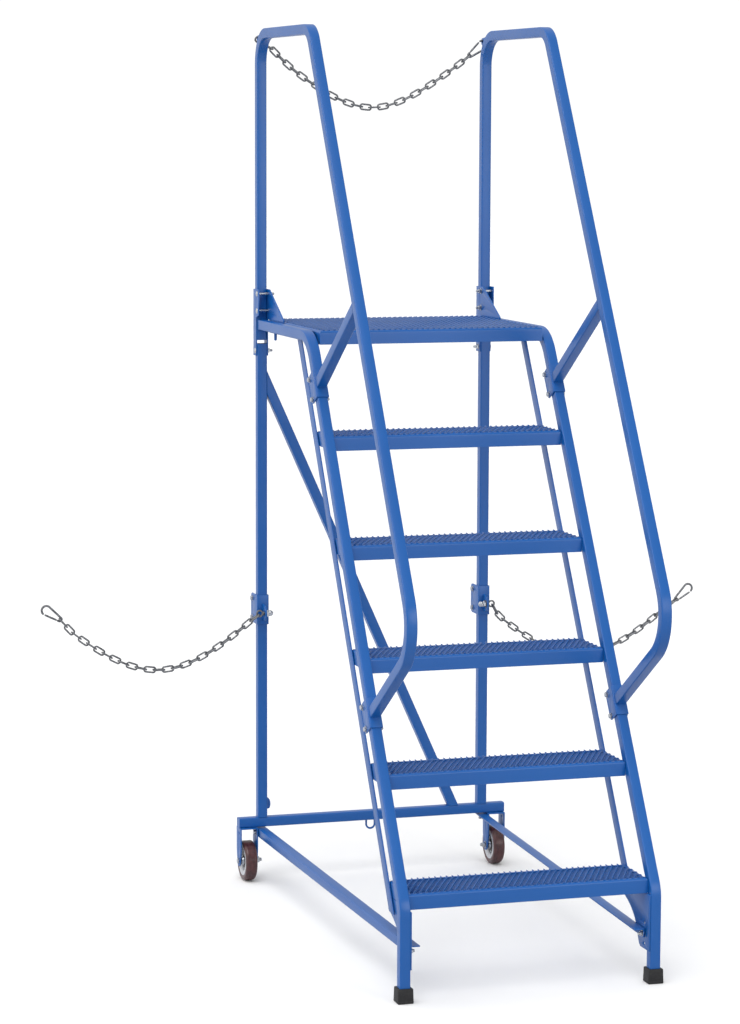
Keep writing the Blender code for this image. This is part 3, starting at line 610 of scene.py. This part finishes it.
def strut(side, sign):
    """Straight tube from the stringer to the rear face of the handrail."""
    rear = HAND_FRONT + (TUBE + WELD_GAP) * HAND_LEAN
    heights = (STRUT_FOOT_Z, return_meets(STRUT_START, rear, HAND_SLOPE))
    ends = [point(sign * TUBE_X, STRUT_START - RETURN_SLOPE * z, z) for z in heights]
    cuts = (saddle_cut(sign), (point(sign * TUBE_X, rear, 0), (0, 1, -HAND_SLOPE)))
    tube(f"strut_tube_{side}", ends, X, (f"handrail_strut_{side}",), cuts=cuts)


def rear_post(side, sign):
    ends = [point(sign * TUBE_X, REAR_DEPTH, z) for z in (CROSS_TOP + WELD_GAP, POST_TOP)]
    tube(f"rear_post_tube_{side}", ends, X, (f"rear_post_{side}",))


def cross_member():
    """Thicker tube across the rear, with a cap inside each end."""
    ends = [point(x, CROSS_DEPTH, CROSS_Z) for x in (-CROSS_END_X, CROSS_END_X)]
    tube(
        "cross_member_tube", ends, (0, 1, 0), ("cross_member",),
        size=CROSS_SIZE, wall=2.2, corner=3.0,
    )
    caps = Build()
    half = CROSS_SIZE / 2 - 1.0
    for sign in (-1, 1):
        caps.add(*box(point(sign * (CROSS_END_X - 1.2), CROSS_DEPTH, CROSS_Z), (0.9, half, half)))
    caps.make("cross_member_caps", BLUE, "ladder", bevel=0.5)


def rear_brace():
    """Sloping tube from the left post down to the cross member."""
    ends = [point(-INNER_X, REAR_DEPTH, 1354.6), point(231.3, REAR_DEPTH, CROSS_TOP)]
    cuts = (
        (point(-INNER_X + WELD_GAP, 0, 0), (1, 0, 0)),
        (point(0, 0, CROSS_TOP + WELD_GAP), (0, 0, 1)),
    )
    tube("rear_brace_tube", ends, (0, 1, 0), ("rear_brace",), cuts=cuts)


for side, sign in SIDES:
    stringer(side, sign)
    handrail(side, sign)
    strut(side, sign)
    rear_post(side, sign)
cross_member()
rear_brace()

# ---------------------------------------------------------------- treads and platform
MESH_LONG, MESH_SHORT = 28.0, 14.6                # diamond pitch, front to back and across
STRAND, STRAND_THICK, TILT = 3.4, 1.8, math.radians(-60)
BOND = 3.4                                        # length of a strand's touch with its neighbour
# (distance from the bond's centre, share of the full swing)
BOND_STATIONS = (
    (-BOND / 2 - 1.2, 0.93), (-BOND / 2 + 0.4, 1), (BOND / 2 - 0.4, 1), (BOND / 2 + 1.2, 0.93),
)
NOSE = 6.5


def strand_ring():
    """Tilted, chamfered section of one strand, as x, y, z rows."""
    wide = Vector((math.cos(TILT), 0, math.sin(TILT)))
    thick = Vector((-math.sin(TILT), 0, math.cos(TILT)))
    c, w, t = 0.28, STRAND / 2, STRAND_THICK / 2
    outline = [
        (-w + c, -t), (w - c, -t), (w, -t + c), (w, t - c),
        (w - c, t), (-w + c, t), (-w, t - c), (-w, -t + c),
    ]
    return np.array([wide * a + thick * b for a, b in outline])


def strand_line(front, rear):
    """(y, swing) rows of a wavy strand, with swing from -1 to 1."""
    stations = []
    centre, swing = front - 2.0, 1
    while centre - BOND / 2 <= rear:
        stations += [(centre + offset, swing * share) for offset, share in BOND_STATIONS]
        centre += MESH_LONG / 2
        swing = -swing
    ends = [(y, float(np.interp(y, *zip(*stations)))) for y in (front, rear)]
    return np.array([ends[0]] + [row for row in stations if front < row[0] < rear] + [ends[1]])


def expanded(name, node):
    """Raised diamond mesh of strands running front to back, touching at each bond."""
    low, high = box_mm(node)
    step = MESH_SHORT / 2
    swing = (step - STRAND * math.cos(TILT)) / 2
    lift = STRAND * math.sin(TILT) / 2
    ring = strand_ring()
    line = strand_line(low.y + 1.8, high.y + 0.2)
    middle = high.z + 0.3 - abs(lift) - ring[:, 2].max()
    width = high.x - low.x
    count = int(width / step)
    first = low.x + (width - (count - 1) * step) / 2
    rings, per = len(line), len(ring)
    strand_quads = np.array(band(rings, per))
    strand_ends = np.array(end_rings(rings, per))
    blocks, faces, ends = [], [], []
    for i in range(count):
        flip = 1 if i % 2 == 0 else -1
        x = first + i * step + flip * swing * line[:, 1]
        centre = np.stack([x, line[:, 0], middle - flip * lift * line[:, 1]], 1)
        blocks.append((centre[:, None, :] + ring[None, :, :]).reshape(-1, 3))
        start = i * rings * per
        faces += (strand_quads + start).tolist()
        front, rear = (strand_ends + start).tolist()
        ends += [front[::-1], rear]
    mesh = bpy.data.meshes.new(name)
    mesh.from_pydata((np.concatenate(blocks) * 0.001).tolist(), [], faces + ends)
    mesh.update()
    place(name, mesh, BLUE, "ladder", (node,), angle=30)


def nosed_frame(name, node, flange):
    """Bent sheet frame with a round nose, a short lip under the mesh and an inner flange."""
    low, high = box_mm(node)
    deep = high.z - low.z
    inside = NOSE - 2.5
    # (inset from the outer face, drop from the top)
    profile = [(0.0, deep - 0.6), (0.0, NOSE + 6.0)]
    for a in map(math.radians, range(0, 91, 9)):
        profile.append((NOSE - NOSE * math.cos(a), NOSE - NOSE * math.sin(a)))
    profile += [(9.5, 0.1), (9.9, 0.5), (9.9, 2.2), (9.4, 2.6), (NOSE, 2.6)]
    for a in map(math.radians, (30, 60)):
        profile.append((NOSE - inside * math.sin(a), NOSE - inside * math.cos(a)))
    profile += [
        (2.5, 6.5), (flange - 0.6, 6.5), (flange, 7.1), (flange, 8.4), (flange - 0.6, 9.0),
        (3.1, 9.0), (2.5, 9.6), (2.5, deep - 0.6), (1.9, deep), (0.6, deep),
    ]
    corners = (
        (low.x, low.y, 1, 1), (high.x, low.y, -1, 1), (high.x, high.y, -1, -1), (low.x, high.y, 1, -1),
    )
    verts = [
        Vector((x + x_in * inset, y + y_in * inset, high.z - drop)) * 0.001
        for x, y, x_in, y_in in corners
        for inset, drop in profile
    ]
    faces = band(4, len(profile), loop=True)
    Build().add(verts, faces).make(name, BLUE, "ladder", (node,), angle=30)


for k in range(1, 6):
    nosed_frame(f"tread_pressing_{k}", f"tread_frame_{k}", flange=16.0)
    expanded(f"tread_mesh_{k}", f"tread_grating_{k}")
nosed_frame("platform_pressing", "platform_frame", flange=22.0)
expanded("platform_mesh", "platform_grating")

# ---------------------------------------------------------------- bolts and eyes of the ladder
SADDLE_BOLT, SADDLE_PITCH = 33.0, 56.0            # bolts behind the stringer's front, and apart
CLAMP_DEPTH, CLAMP_Z, CLAMP_PITCH = 1322.0, 743.0, 52.0
BRACKET_BOLTS = ((1271, 1592), (1271, 1547), (1289, 1440))    # (depth, z)


def saddle_bolts(side, sign):
    for level, z in (("upper", STRUT_FOOT_Z), ("lower", HAND_FOOT_Z)):
        base = Vector((STRINGER_FRONT + STRINGER_SLOPE * z, z))
        build = Build()
        for end in (-1, 1):
            at = base + ALONG * end * SADDLE_PITCH / 2 + BACKWARD * SADDLE_BOLT
            plate_bolt(build, sign, at.x, at.y)
        build.make(f"saddle_bolts_{level}_{side}", ZINC, "ladder")


def bracket_bolts(side, sign):
    build = Build()
    inner, outer = sign * (TUBE_X - PLATE_REACH), sign * (TUBE_X + PLATE_REACH)
    for depth, z in BRACKET_BOLTS:
        through_bolt(build, point(outer, depth, z), point(inner, depth, z), proud=6.5, dome=True)
    build.make(f"bracket_bolts_{side}", ZINC, "ladder")


def clamp_bolts(side, sign):
    build = Build()
    for end in (-1, 1):
        plate_bolt(build, sign, CLAMP_DEPTH, CLAMP_Z + end * CLAMP_PITCH / 2)
    build.make(f"clamp_bolts_{side}", ZINC, "ladder")


def eye_bolt(side, sign):
    """Inner washer and domed nut, then the outer eye ring with its collar and shank."""
    at = point(sign * (TUBE_X - 2.0), EYE_DEPTH, EYE_Z)
    washer = turned([(0, 9.6), (0.2, 10.2), (1.6, 10.2), (1.8, 9.6)], at, (-sign, 0, 0), 40)
    Build().add(*washer).make(f"eye_washer_{side}", CHAIN, "ladder")

    dome = [(1.8, 7.0), (2.4, 7.6), (6.6, 7.6), (7.2, 6.9)]
    for a in map(math.radians, range(-36, 85, 12)):
        dome.append((12.8 + 8.0 * math.sin(a), 8.0 * math.cos(a)))
    nut = turned(dome, at, (-sign, 0, 0), 48, hexes=(1, 2))
    Build().add(*nut).make(f"eye_nut_{side}", CHROME, "ladder")

    ring = []
    for i in range(48):
        a = 2 * math.pi * i / 48
        x = sign * (EYE_X + EYE_RADIUS * math.cos(a))
        ring.append(point(x, EYE_DEPTH, EYE_Z + EYE_RADIUS * math.sin(a)))
    build = Build().add(*wire(ring, EYE_WIRE, (0, 1, 0), closed=True))
    collar = [(0, 6.0), (0.3, 6.6), (1.4, 6.6), (1.7, 5.6), (1.7, 3.7), (4.6, 3.4)]
    shank = [(0, 3.8), (16.5, 3.8)]
    for profile, x, sides in ((collar, TUBE_X + 2.05, 32), (shank, TUBE_X - 14, 24)):
        build.add(*turned(profile, point(sign * x, EYE_DEPTH, EYE_Z), (sign, 0, 0), sides))
    build.make(f"eye_bolt_{side}", CHAIN, "ladder", (f"chain_eye_{side}",))


def side_bar_bolts(side, sign):
    """Bolts at the side bar's front end, by the leg, and at its rear end."""
    build = Build()
    front = [point(sign * x, 34, 116) for x in (INNER_X - GAP + WELD_GAP, 292.95)]
    rear = [point(sign * x, 1284, 132) for x in (332.65, 325.6)]
    through_bolt(build, *front, flats=11.0, proud=4.5, radius=3.7)
    through_bolt(build, *rear, flats=12.0, proud=11.0)
    build.make(f"side_bar_bolts_{side}", ZINC, "ladder")


for side, sign in SIDES:
    saddle_bolts(side, sign)
    bracket_bolts(side, sign)
    clamp_bolts(side, sign)
    eye_bolt(side, sign)
    side_bar_bolts(side, sign)

# ---------------------------------------------------------------- hook tab and peg
# Outline (x, z) of the tab on the inner face of the left post.
HOOK_TAB = [
    (-INNER_X - 0.4, 226.0), (-298.5, 225.5), (-295.2, 223.0), (-292.6, 219.0),
    (-290.8, 214.0), (-290.0, 209.0), (-290.2, 204.0), (-291.0, 199.5),
    (-292.8, 196.0), (-295.5, 194.2), (-298.5, 194.0), (-INNER_X - 0.4, 196.0),
]
HOOK_TAB_HALF = 3.0
PEG_DEPTH = 1145.0


def hook_tab():
    n = len(HOOK_TAB)
    depths = (REAR_DEPTH - HOOK_TAB_HALF, REAR_DEPTH + HOOK_TAB_HALF)
    verts = [point(x, depth, z) for depth in depths for x, z in HOOK_TAB]
    faces = [range(n), range(n, 2 * n)[::-1]]
    faces += [(i, i + n, (i + 1) % n + n, (i + 1) % n) for i in range(n)]
    Build().add(verts, faces).make("lashing_hook_tab", BLUE, "ladder", bevel=0.5)


def rail_peg():
    """Peg hanging under the left rail."""
    profile = [(0.0, 3.9), (0.5, 3.9), (17.0, 3.7), (19.5, 3.2), (20.6, 2.2), (21.0, 1.0)]
    peg = turned(profile, point(-TUBE_X, PEG_DEPTH, RAIL_TOP - TUBE - 0.02), (0, 0, -1))
    Build().add(*peg).make("rail_peg", BLUE, "ladder")


hook_tab()
rail_peg()

# ---------------------------------------------------------------- chains of real links
LINK_PITCH, LINK_WIRE, LINK_WIDE, LINK_CORNER = 24.9, 2.4, 18.8, 5.4
LINK_SLACK = 0.5                                  # extra length of a link over the pitch


def hang(x, middle, low, steep, soft):
    """Height of a hanging chain: lowest at `middle`, nearing slope `steep` beyond `soft`."""
    return low + steep * (math.hypot(x - middle, soft) - soft)


def add_link(build, centre, ahead, face, pitch):
    """Welded link with squarish ends. `ahead` runs along the chain, `face` is square to it."""
    run, half = pitch / 2 + LINK_WIRE, LINK_WIDE / 2 - LINK_WIRE
    across = face.cross(ahead).normalized()
    path = []
    for sign in (1, -1):
        for end in (-1, 1):
            for i in range(6):
                a = math.radians((-90 if end < 0 else 0) + 90 * i / 5)
                along = run - LINK_CORNER + LINK_CORNER * math.cos(a)
                out = end * (half - LINK_CORNER) + LINK_CORNER * math.sin(a)
                path.append(centre + (ahead * sign * along + across * sign * out) * 0.001)
        middle = centre + across * sign * half * 0.001
        path += [middle + ahead * sign * 0.0012, middle, middle - ahead * sign * 0.0012]
    radii = [LINK_WIRE] * len(path)
    radii[13] = LINK_WIRE * 1.14     # the weld, midway along the first side
    build.add(*wire(path, radii, face, sides=10, closed=True))


def link_places(points):
    """(centre, direction) of each link along a fine polyline, and the pitch that fits."""
    lengths = [0.0]
    for start, end in zip(points, points[1:]):
        lengths.append(lengths[-1] + (end - start).length * 1000)
    count = max(1, round(lengths[-1] / LINK_PITCH))
    pitch = lengths[-1] / count
    places = []
    for k in range(count):
        ends = []
        for at in (k * pitch, (k + 1) * pitch):
            j = max(0, min(len(lengths) - 2, int(np.searchsorted(lengths, at)) - 1))
            share = (at - lengths[j]) / max(lengths[j + 1] - lengths[j], 1e-9)
            ends.append(points[j].lerp(points[j + 1], share))
        places.append(((ends[0] + ends[1]) / 2, (ends[1] - ends[0]).normalized()))
    return places, pitch


def chain(name, points, body, replaces, turn=0):
    """Links turned a quarter one after the other. An odd `turn` swaps which come first."""
    places, pitch = link_places(points)
    build = Build()
    backward = Vector((0, 1, 0))
    for i, (centre, ahead) in enumerate(places):
        face = backward if (i + turn) % 2 == 0 else ahead.cross(backward).normalized()
        add_link(build, centre, ahead, face, pitch + LINK_SLACK)
    build.make(name, CHAIN, body, replaces, angle=60)


# Snap hook: radii of the loops at the foot and far end, their centres apart, and wire radius.
HOOK_SMALL, HOOK_BIG, HOOK_SPAN, HOOK_WIRE = 5.2, 12.2, 43.5, 2.95


def snap_hook(name, foot, angle, depth, side, body, gate_body, replaces):
    """Pear-shaped wire hook and its gate. `foot` is (x, z) of the small loop's centre,
    `angle` its rise in degrees from +x, and `side` (1 or -1) says where the gate lies."""
    a = math.radians(angle)
    along_axis = Vector((math.cos(a), math.sin(a)))
    across_axis = Vector((-along_axis.y, along_axis.x)) * side

    def rim(centre, radius, turn):
        along, across = centre + radius * math.cos(turn), radius * math.sin(turn)
        at = Vector(foot) + along_axis * along + across_axis * across
        return point(at.x, depth, at.y)

    touch = math.pi / 2 + math.asin((HOOK_BIG - HOOK_SMALL) / HOOK_SPAN)
    nose = math.radians(89)
    path, radii = [], []
    # round the big loop, tapered at the nose
    for i in range(37):
        path.append(rim(HOOK_SPAN, HOOK_BIG, nose + (-touch - nose) * i / 36))
        radii.append(HOOK_WIRE * (0.72 + 0.28 * min(1, i / 2.5)))
    # straight back
    for i in range(1, 8):
        path.append(rim(HOOK_SPAN, HOOK_BIG, -touch).lerp(rim(0, HOOK_SMALL, -touch), i / 8))
        radii.append(HOOK_WIRE)
    # round the small loop
    for i in range(25):
        path.append(rim(0, HOOK_SMALL, -touch + (-2 * math.pi + 2 * touch) * i / 24))
        radii.append(HOOK_WIRE)
    # short tapered stub that carries the gate
    start, end = rim(0, HOOK_SMALL, touch), rim(HOOK_SPAN, HOOK_BIG, touch)
    way = (end - start).normalized()
    for along, share in ((1.5, 1.0), (3.0, 0.98), (4.3, 0.9), (5.0, 0.72)):
        path.append(start + way * along * 0.001)
        radii.append(HOOK_WIRE * share)
    hook = wire(path, radii, (0, 1, 0))
    Build().add(*hook).make(name, CHAIN, body, (replaces,), angle=60)

    pivot, tip = start + way * 0.0062, end - way * 0.0008
    gate = [pivot.lerp(tip, i / 12) for i in range(13)]
    radii = [1.8, 2.5, 2.7] + [2.7] * 7 + [2.7, 2.5, 1.8]
    pin = [(-3.1, 1.1), (-2.7, 1.35), (2.7, 1.35), (3.1, 1.1)]
    build = Build().add(*wire(gate, radii, (0, 1, 0)))
    build.add(*turned(pin, pivot + way * 0.0012, (0, 1, 0), 16))
    gate_name, old_gate = name.replace("hook", "gate"), replaces.replace("hook", "gate")
    build.make(gate_name, CHAIN, gate_body, (old_gate,), angle=60)


TAB_DEPTH, TAB_Z = 1316.0, 2262.5
TOP_SHAPE = (0.0, 2084.5, 0.85, 150.0)            # middle, low, steep and soft of hang()
LIFT_X, LIFT_SPAN, LIFT, LIFT_FALL = -190.0, 86.5, 12.6, 13.9


def platform_line(x):
    """The platform chain's height, with a rise over the hanging curve near its left end."""
    reach = max(0.0, LIFT_X - x) / LIFT_SPAN
    extra = LIFT * reach ** 2 if reach <= 1 else LIFT - LIFT_FALL * (reach - 1)
    return hang(x, *TOP_SHAPE) + extra


def platform_chain():
    """Chain across the platform from the left tab, with its hook at the right."""
    foot_x = TUBE_X - 37
    foot = (foot_x, hang(foot_x, *TOP_SHAPE) + 1.2)
    places = [(-TUBE_X - 4.5, TAB_Z + 1.5), (-TUBE_X + 12, TAB_Z - 12.0)]
    places += [(x, platform_line(x)) for x in np.linspace(-TUBE_X + 26, foot_x - 16, 160)]
    places.append((foot_x - 1.5, foot[1] - 1.2))
    points = [point(x, TAB_DEPTH, z) for x, z in places]
    chain("platform_chain_links", points, "platform_chain", ("platform_chain",))
    snap_hook(
        "platform_hook_wire", foot, angle=38.0, depth=TAB_DEPTH, side=1,
        body="platform_chain", gate_body="platform_gate", replaces="platform_snap_hook",
    )


TIE_REACH = 924.1                                 # the tie hooks' far ends from the middle
# side, sign, hang() shape, |x| where an extra slope starts, that slope, hook angle
TIES = (
    ("left", -1, (-604.0, 596.0, 1.058, 215.0), 840.0, 0.30, 145.0),
    ("right", 1, (594.0, 585.6, 1.12, 235.0), 812.0, -0.10, 40.5),
)


def tie_chain(side, sign, shape, knee, slope, angle):
    """Chain slung outward from the eye bolt, with its hook at the outer end."""

    def height(x):
        return hang(x, *shape) + slope * max(0.0, sign * x - knee)

    foot_x = sign * (TIE_REACH - HOOK_BIG - 2.5) - HOOK_SPAN * math.cos(math.radians(angle))
    foot = (foot_x, height(foot_x))
    places = [(sign * (EYE_X + 4.2), EYE_Z - 4.4)]
    for x in np.linspace(EYE_X + 20, sign * foot_x - 13, 160):
        places.append((sign * x, height(sign * x)))
    places.append((foot_x - sign * 1.0, foot[1] - 0.8))
    points = [point(x, EYE_DEPTH, z) for x, z in places]
    chain(f"tie_chain_links_{side}", points, f"{side}_tie_chain", (f"tie_chain_{side}",), turn=1)
    snap_hook(
        f"tie_hook_wire_{side}", foot, angle, EYE_DEPTH, side=-sign,
        body=f"{side}_snap", gate_body=f"{side}_gate", replaces=f"tie_snap_hook_{side}",
    )


platform_chain()
for tie in TIES:
    tie_chain(*tie)


# ---------------------------------------------------------------- wheels
def mirrored(half):
    """A (radius, across) half profile followed by its mirror image."""
    return half + [(radius, -x) for radius, x in reversed(half)]


def ring_piece(name, profile, centre, mat, body, replaces=(), angle=30):
    """A closed (radius, across) profile turned about the wheel's axle."""
    steps = 96
    verts = []
    for i in range(steps):
        a = 2 * math.pi * i / steps
        for radius, x in profile:
            verts.append(centre + Vector((x, radius * math.cos(a), radius * math.sin(a))) * 0.001)
    faces = band(steps, len(profile), loop=True)
    Build().add(verts, faces).make(name, mat, body, replaces, angle=angle)


def wheel(side, sign):
    centre = point(sign * WHEEL_X, CROSS_DEPTH, WHEEL_RADIUS)
    body = f"{side}_wheel"
    face, rim = -WHEEL_HALF, WHEEL_RADIUS

    # tyre with rounded shoulders and two fine grooves
    tyre = [(40.2, face + 1.2), (44.0, face + 0.2), (46.5, face)]
    for a in map(math.radians, range(15, 91, 15)):
        tyre.append((rim - 7 + 7 * math.sin(a), face + 7 - 7 * math.cos(a)))
    tyre += [(rim, -6.0), (rim - 0.05, -5.4), (rim - 0.55, -5.1), (rim - 0.55, -4.7)]
    tyre.append((rim - 0.05, -4.4))
    replaced = (f"wheel_tyre_{side}",)
    ring_piece(f"tyre_tread_{side}", mirrored(tyre), centre, TYRE, body, replaced, angle=28)

    core = [(27.0, face + 6.5), (29.0, face + 3.2), (31.0, face + 1.6)]
    core = mirrored(core + [(39.6, face + 0.9), (40.0, face + 1.6)]) + [(26.0, 5.0), (26.0, -5.0)]
    ring_piece(f"wheel_core_{side}", core, centre, CORE, body, (f"wheel_hub_{side}",))
    web = [(12.5, face + 5.0), (14.0, face + 4.4), (25.0, face + 8.6), (27.4, face + 8.4)]
    ring_piece(f"wheel_web_{side}", mirrored(web), centre, SEAL, body)
    boss = [(5.4, face - 2.2), (10.2, face - 2.2), (11.6, face - 1.2)]
    boss += [(12.2, face + 1.0), (12.9, face + 5.6)]
    ring_piece(f"wheel_boss_{side}", mirrored(boss), centre, ZINC, body)

    # six rivets on each face
    build = Build()
    rivet = [(-2.0, 2.8), (1.6, 2.8), (2.3, 2.2), (2.6, 1.2)]
    for i in range(6):
        a = math.radians(60 * i + 20)
        for end in (-1, 1):
            offset = Vector((end * (WHEEL_HALF - 8.2), 20 * math.cos(a), 20 * math.sin(a)))
            build.add(*turned(rivet, centre + offset * 0.001, (end, 0, 0), 20))
    build.make(f"wheel_rivets_{side}", ZINC, body)


def axle_bolt(side, sign):
    """Axle through the fork, with its head outside and its nut inside."""

    def at(x):
        return point(sign * x, CROSS_DEPTH, WHEEL_RADIUS)

    build = Build()
    outward, inward = (sign, 0, 0), (-sign, 0, 0)
    hex_head(build, at(FORK_OUTER + 0.02), outward, flats=14.5, tall=4.2, washer=False)
    nut_and_tip(build, at(FORK_INNER - 0.02), inward, flats=14.5, tall=7.5, radius=4.8, proud=5.5)
    shank = [(-1.0, 4.9), (FORK_OUTER - FORK_INNER + 1.0, 4.9)]
    build.add(*turned(shank, at(FORK_INNER), outward, 28))
    build.make(f"axle_bolt_{side}", ZINC, "ladder", (f"caster_axle_{side}",))


for side, sign in SIDES:
    wheel(side, sign)
    axle_bolt(side, sign)

# ---------------------------------------------------------------- rubber feet
# (half width, height, corner radius) up the outside, over the rim and down into the socket
FOOT_LEVELS = (
    (17.6, 0.0, 1.5), (19.0, 0.9, 2.2), (19.4, 2.4, 2.6), (19.3, 6.0, 2.6),
    (18.9, 6.6, 2.4), (18.9, 7.4, 2.4), (19.2, 8.0, 2.6), (18.5, 33.6, 2.6),
    (18.0, 35.0, 2.2), (17.2, 35.5, 1.6), (11.9, 35.5, 2.4), (11.8, 4.6, 2.4),
)


def foot_cap(side):
    """Square rubber cap with a shallow groove round it, and a socket for the leg."""
    low, high = box_mm(f"rubber_foot_{side}")
    middle = (low + high) / 2
    rings = [
        [Vector((middle.x + a, middle.y + b, z)) * 0.001 for a, b in rounded_square(2 * half, corner, 4)]
        for half, z, corner in FOOT_LEVELS
    ]
    count, per = len(rings), len(rings[0])
    faces = band(count, per) + list(end_rings(count, per))
    build = Build().add([v for ring in rings for v in ring], faces)
    build.make(f"foot_cap_{side}", RUBBER, "ladder", (f"rubber_foot_{side}",), angle=40)


for side, _ in SIDES:
    foot_cap(side)


# ---------------------------------------------------------------- frame pieces still on show
def finish_node(node, obj):
    """Material, rounded edges and crisp shading for a piece of the frame itself."""
    obj.data.materials.clear()
    obj.data.materials.append(ZINC if "axle" in node else BLUE)
    attributes = obj.data.attributes
    if "custom_normal" in attributes:
        attributes.remove(attributes["custom_normal"])
    weld = obj.modifiers.new("weld", "WELD")
    weld.merge_threshold = 0.00001
    round_edges(obj, 0.6)
    obj.data.shade_smooth()
    crisp = obj.modifiers.new("crisp", "EDGE_SPLIT")
    crisp.use_edge_angle = True
    crisp.split_angle = math.radians(50)


for node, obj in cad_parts.items():
    if not obj.hide_render:
        finish_node(node, obj)


# ---------------------------------------------------------------- floor, light, camera
def make_floor():
    """Near-white floor to the camera, greyer in what it bounces and mirrors."""
    mesh = bpy.data.meshes.new("floor")
    corners = [(-60, -60, 0), (60, -60, 0), (60, 60, 0), (-60, 60, 0)]
    mesh.from_pydata(corners, [], [(0, 1, 2, 3)])
    floor = bpy.data.objects.new("floor", mesh)
    scene.collection.objects.link(floor)
    floor.location.z = -0.0005
    s = Shader("pale_floor")
    dull, pale = (0.90, 0.90, 0.90), (0.93, 0.93, 0.93)
    diffuse, glossy = (0.50, 0.51, 0.53), (0.76, 0.77, 0.80)
    seen = s.mix(s.patches(scale=1.4, detail=4.0), dull, pale)
    camera_ray = s.node("ShaderNodeLightPath", {}).outputs["Is Camera Ray"]
    glossy_ray = s.node("ShaderNodeLightPath", {}).outputs["Is Glossy Ray"]
    bounce = s.mix(glossy_ray, diffuse, glossy)
    mesh.materials.append(s.surface({
        "Base Color": s.mix(camera_ray, bounce, seen),
        "Roughness": 0.9,
        "Specular IOR Level": 0.1,
    }))


def make_world():
    """Soft light, stronger from the left, the back and above; plain white to the camera."""
    world = bpy.data.worlds.new("studio")
    scene.world = world
    g = Graph(world)
    g.nodes.clear()
    direction = g.node("ShaderNodeTexCoord", {}).outputs["Generated"]
    x, y, z = g.node("ShaderNodeSeparateXYZ", {0: direction}).outputs
    smooth = {"interpolation_type": "SMOOTHSTEP"}
    across = g.span(x, low=1.10, high=0.0, start=-0.85, end=0.1, **smooth)
    above = g.span(z, low=0.0, high=0.45, start=0.15, end=1.0, **smooth)
    behind = g.span(y, low=0.42, high=0.75, start=-0.9, end=0.9, **smooth)
    glow = g.maths("ADD", g.maths("ADD", across, above), behind)
    soft = g.node("ShaderNodeBackground", {"Strength": glow})
    seen = g.node("ShaderNodeBackground", {"Color": (1, 1, 1), "Strength": 1.05})
    camera_ray = g.node("ShaderNodeLightPath", {}).outputs["Is Camera Ray"]
    inputs = {0: camera_ray, 1: soft.outputs[0], 2: seen.outputs[0]}
    either = g.node("ShaderNodeMixShader", inputs)
    g.node("ShaderNodeOutputWorld", {"Surface": either.outputs[0]})


def make_lights():
    sun = bpy.data.lights.new("sky_key", "SUN")
    sun.energy = 1.1
    sun.angle = math.radians(35)
    lamp = bpy.data.objects.new("sky_key", sun)
    scene.collection.objects.link(lamp)
    lamp.rotation_euler = (math.radians(28), math.radians(-14), 0)

    fill = bpy.data.lights.new("front_fill", "AREA")
    fill.shape = "RECTANGLE"
    fill.size, fill.size_y = 3.0, 3.0
    fill.energy = 90
    lamp = bpy.data.objects.new("front_fill", fill)
    scene.collection.objects.link(lamp)
    lamp.location = (2.5, -6.5, 2.6)
    aim = Vector((0, 0, 1.0))
    lamp.rotation_euler = (aim - lamp.location).to_track_quat("-Z", "Y").to_euler()


def make_camera():
    """Long lens from the front left, looking slightly down."""
    lens = bpy.data.cameras.new("camera")
    camera = bpy.data.objects.new("camera", lens)
    scene.collection.objects.link(camera)
    lens.sensor_fit = "AUTO"
    lens.sensor_width = 36.0
    lens.lens = 111.7522266
    lens.clip_start, lens.clip_end = 0.1, 300
    yaw, pitch, roll = (math.radians(a) for a in (-17.0449, 6.9907, 0.1917))
    level = math.cos(pitch)
    back = Vector((math.sin(yaw) * level, -math.cos(yaw) * level, math.sin(pitch)))
    right = Vector((math.cos(yaw), math.sin(yaw), 0))
    up = back.cross(right)
    rolled_right = right * math.cos(roll) + up * math.sin(roll)
    rolled_up = up * math.cos(roll) - right * math.sin(roll)
    camera.location = Vector((-2518.12, -7545.745, 2045.46)) * 0.001
    camera.rotation_mode = "QUATERNION"
    axes = Matrix((rolled_right, rolled_up, back)).transposed()
    camera.rotation_quaternion = axes.to_quaternion()
    scene.camera = camera


make_floor()
make_world()
make_lights()
make_camera()
scene.view_settings.view_transform = "Standard"
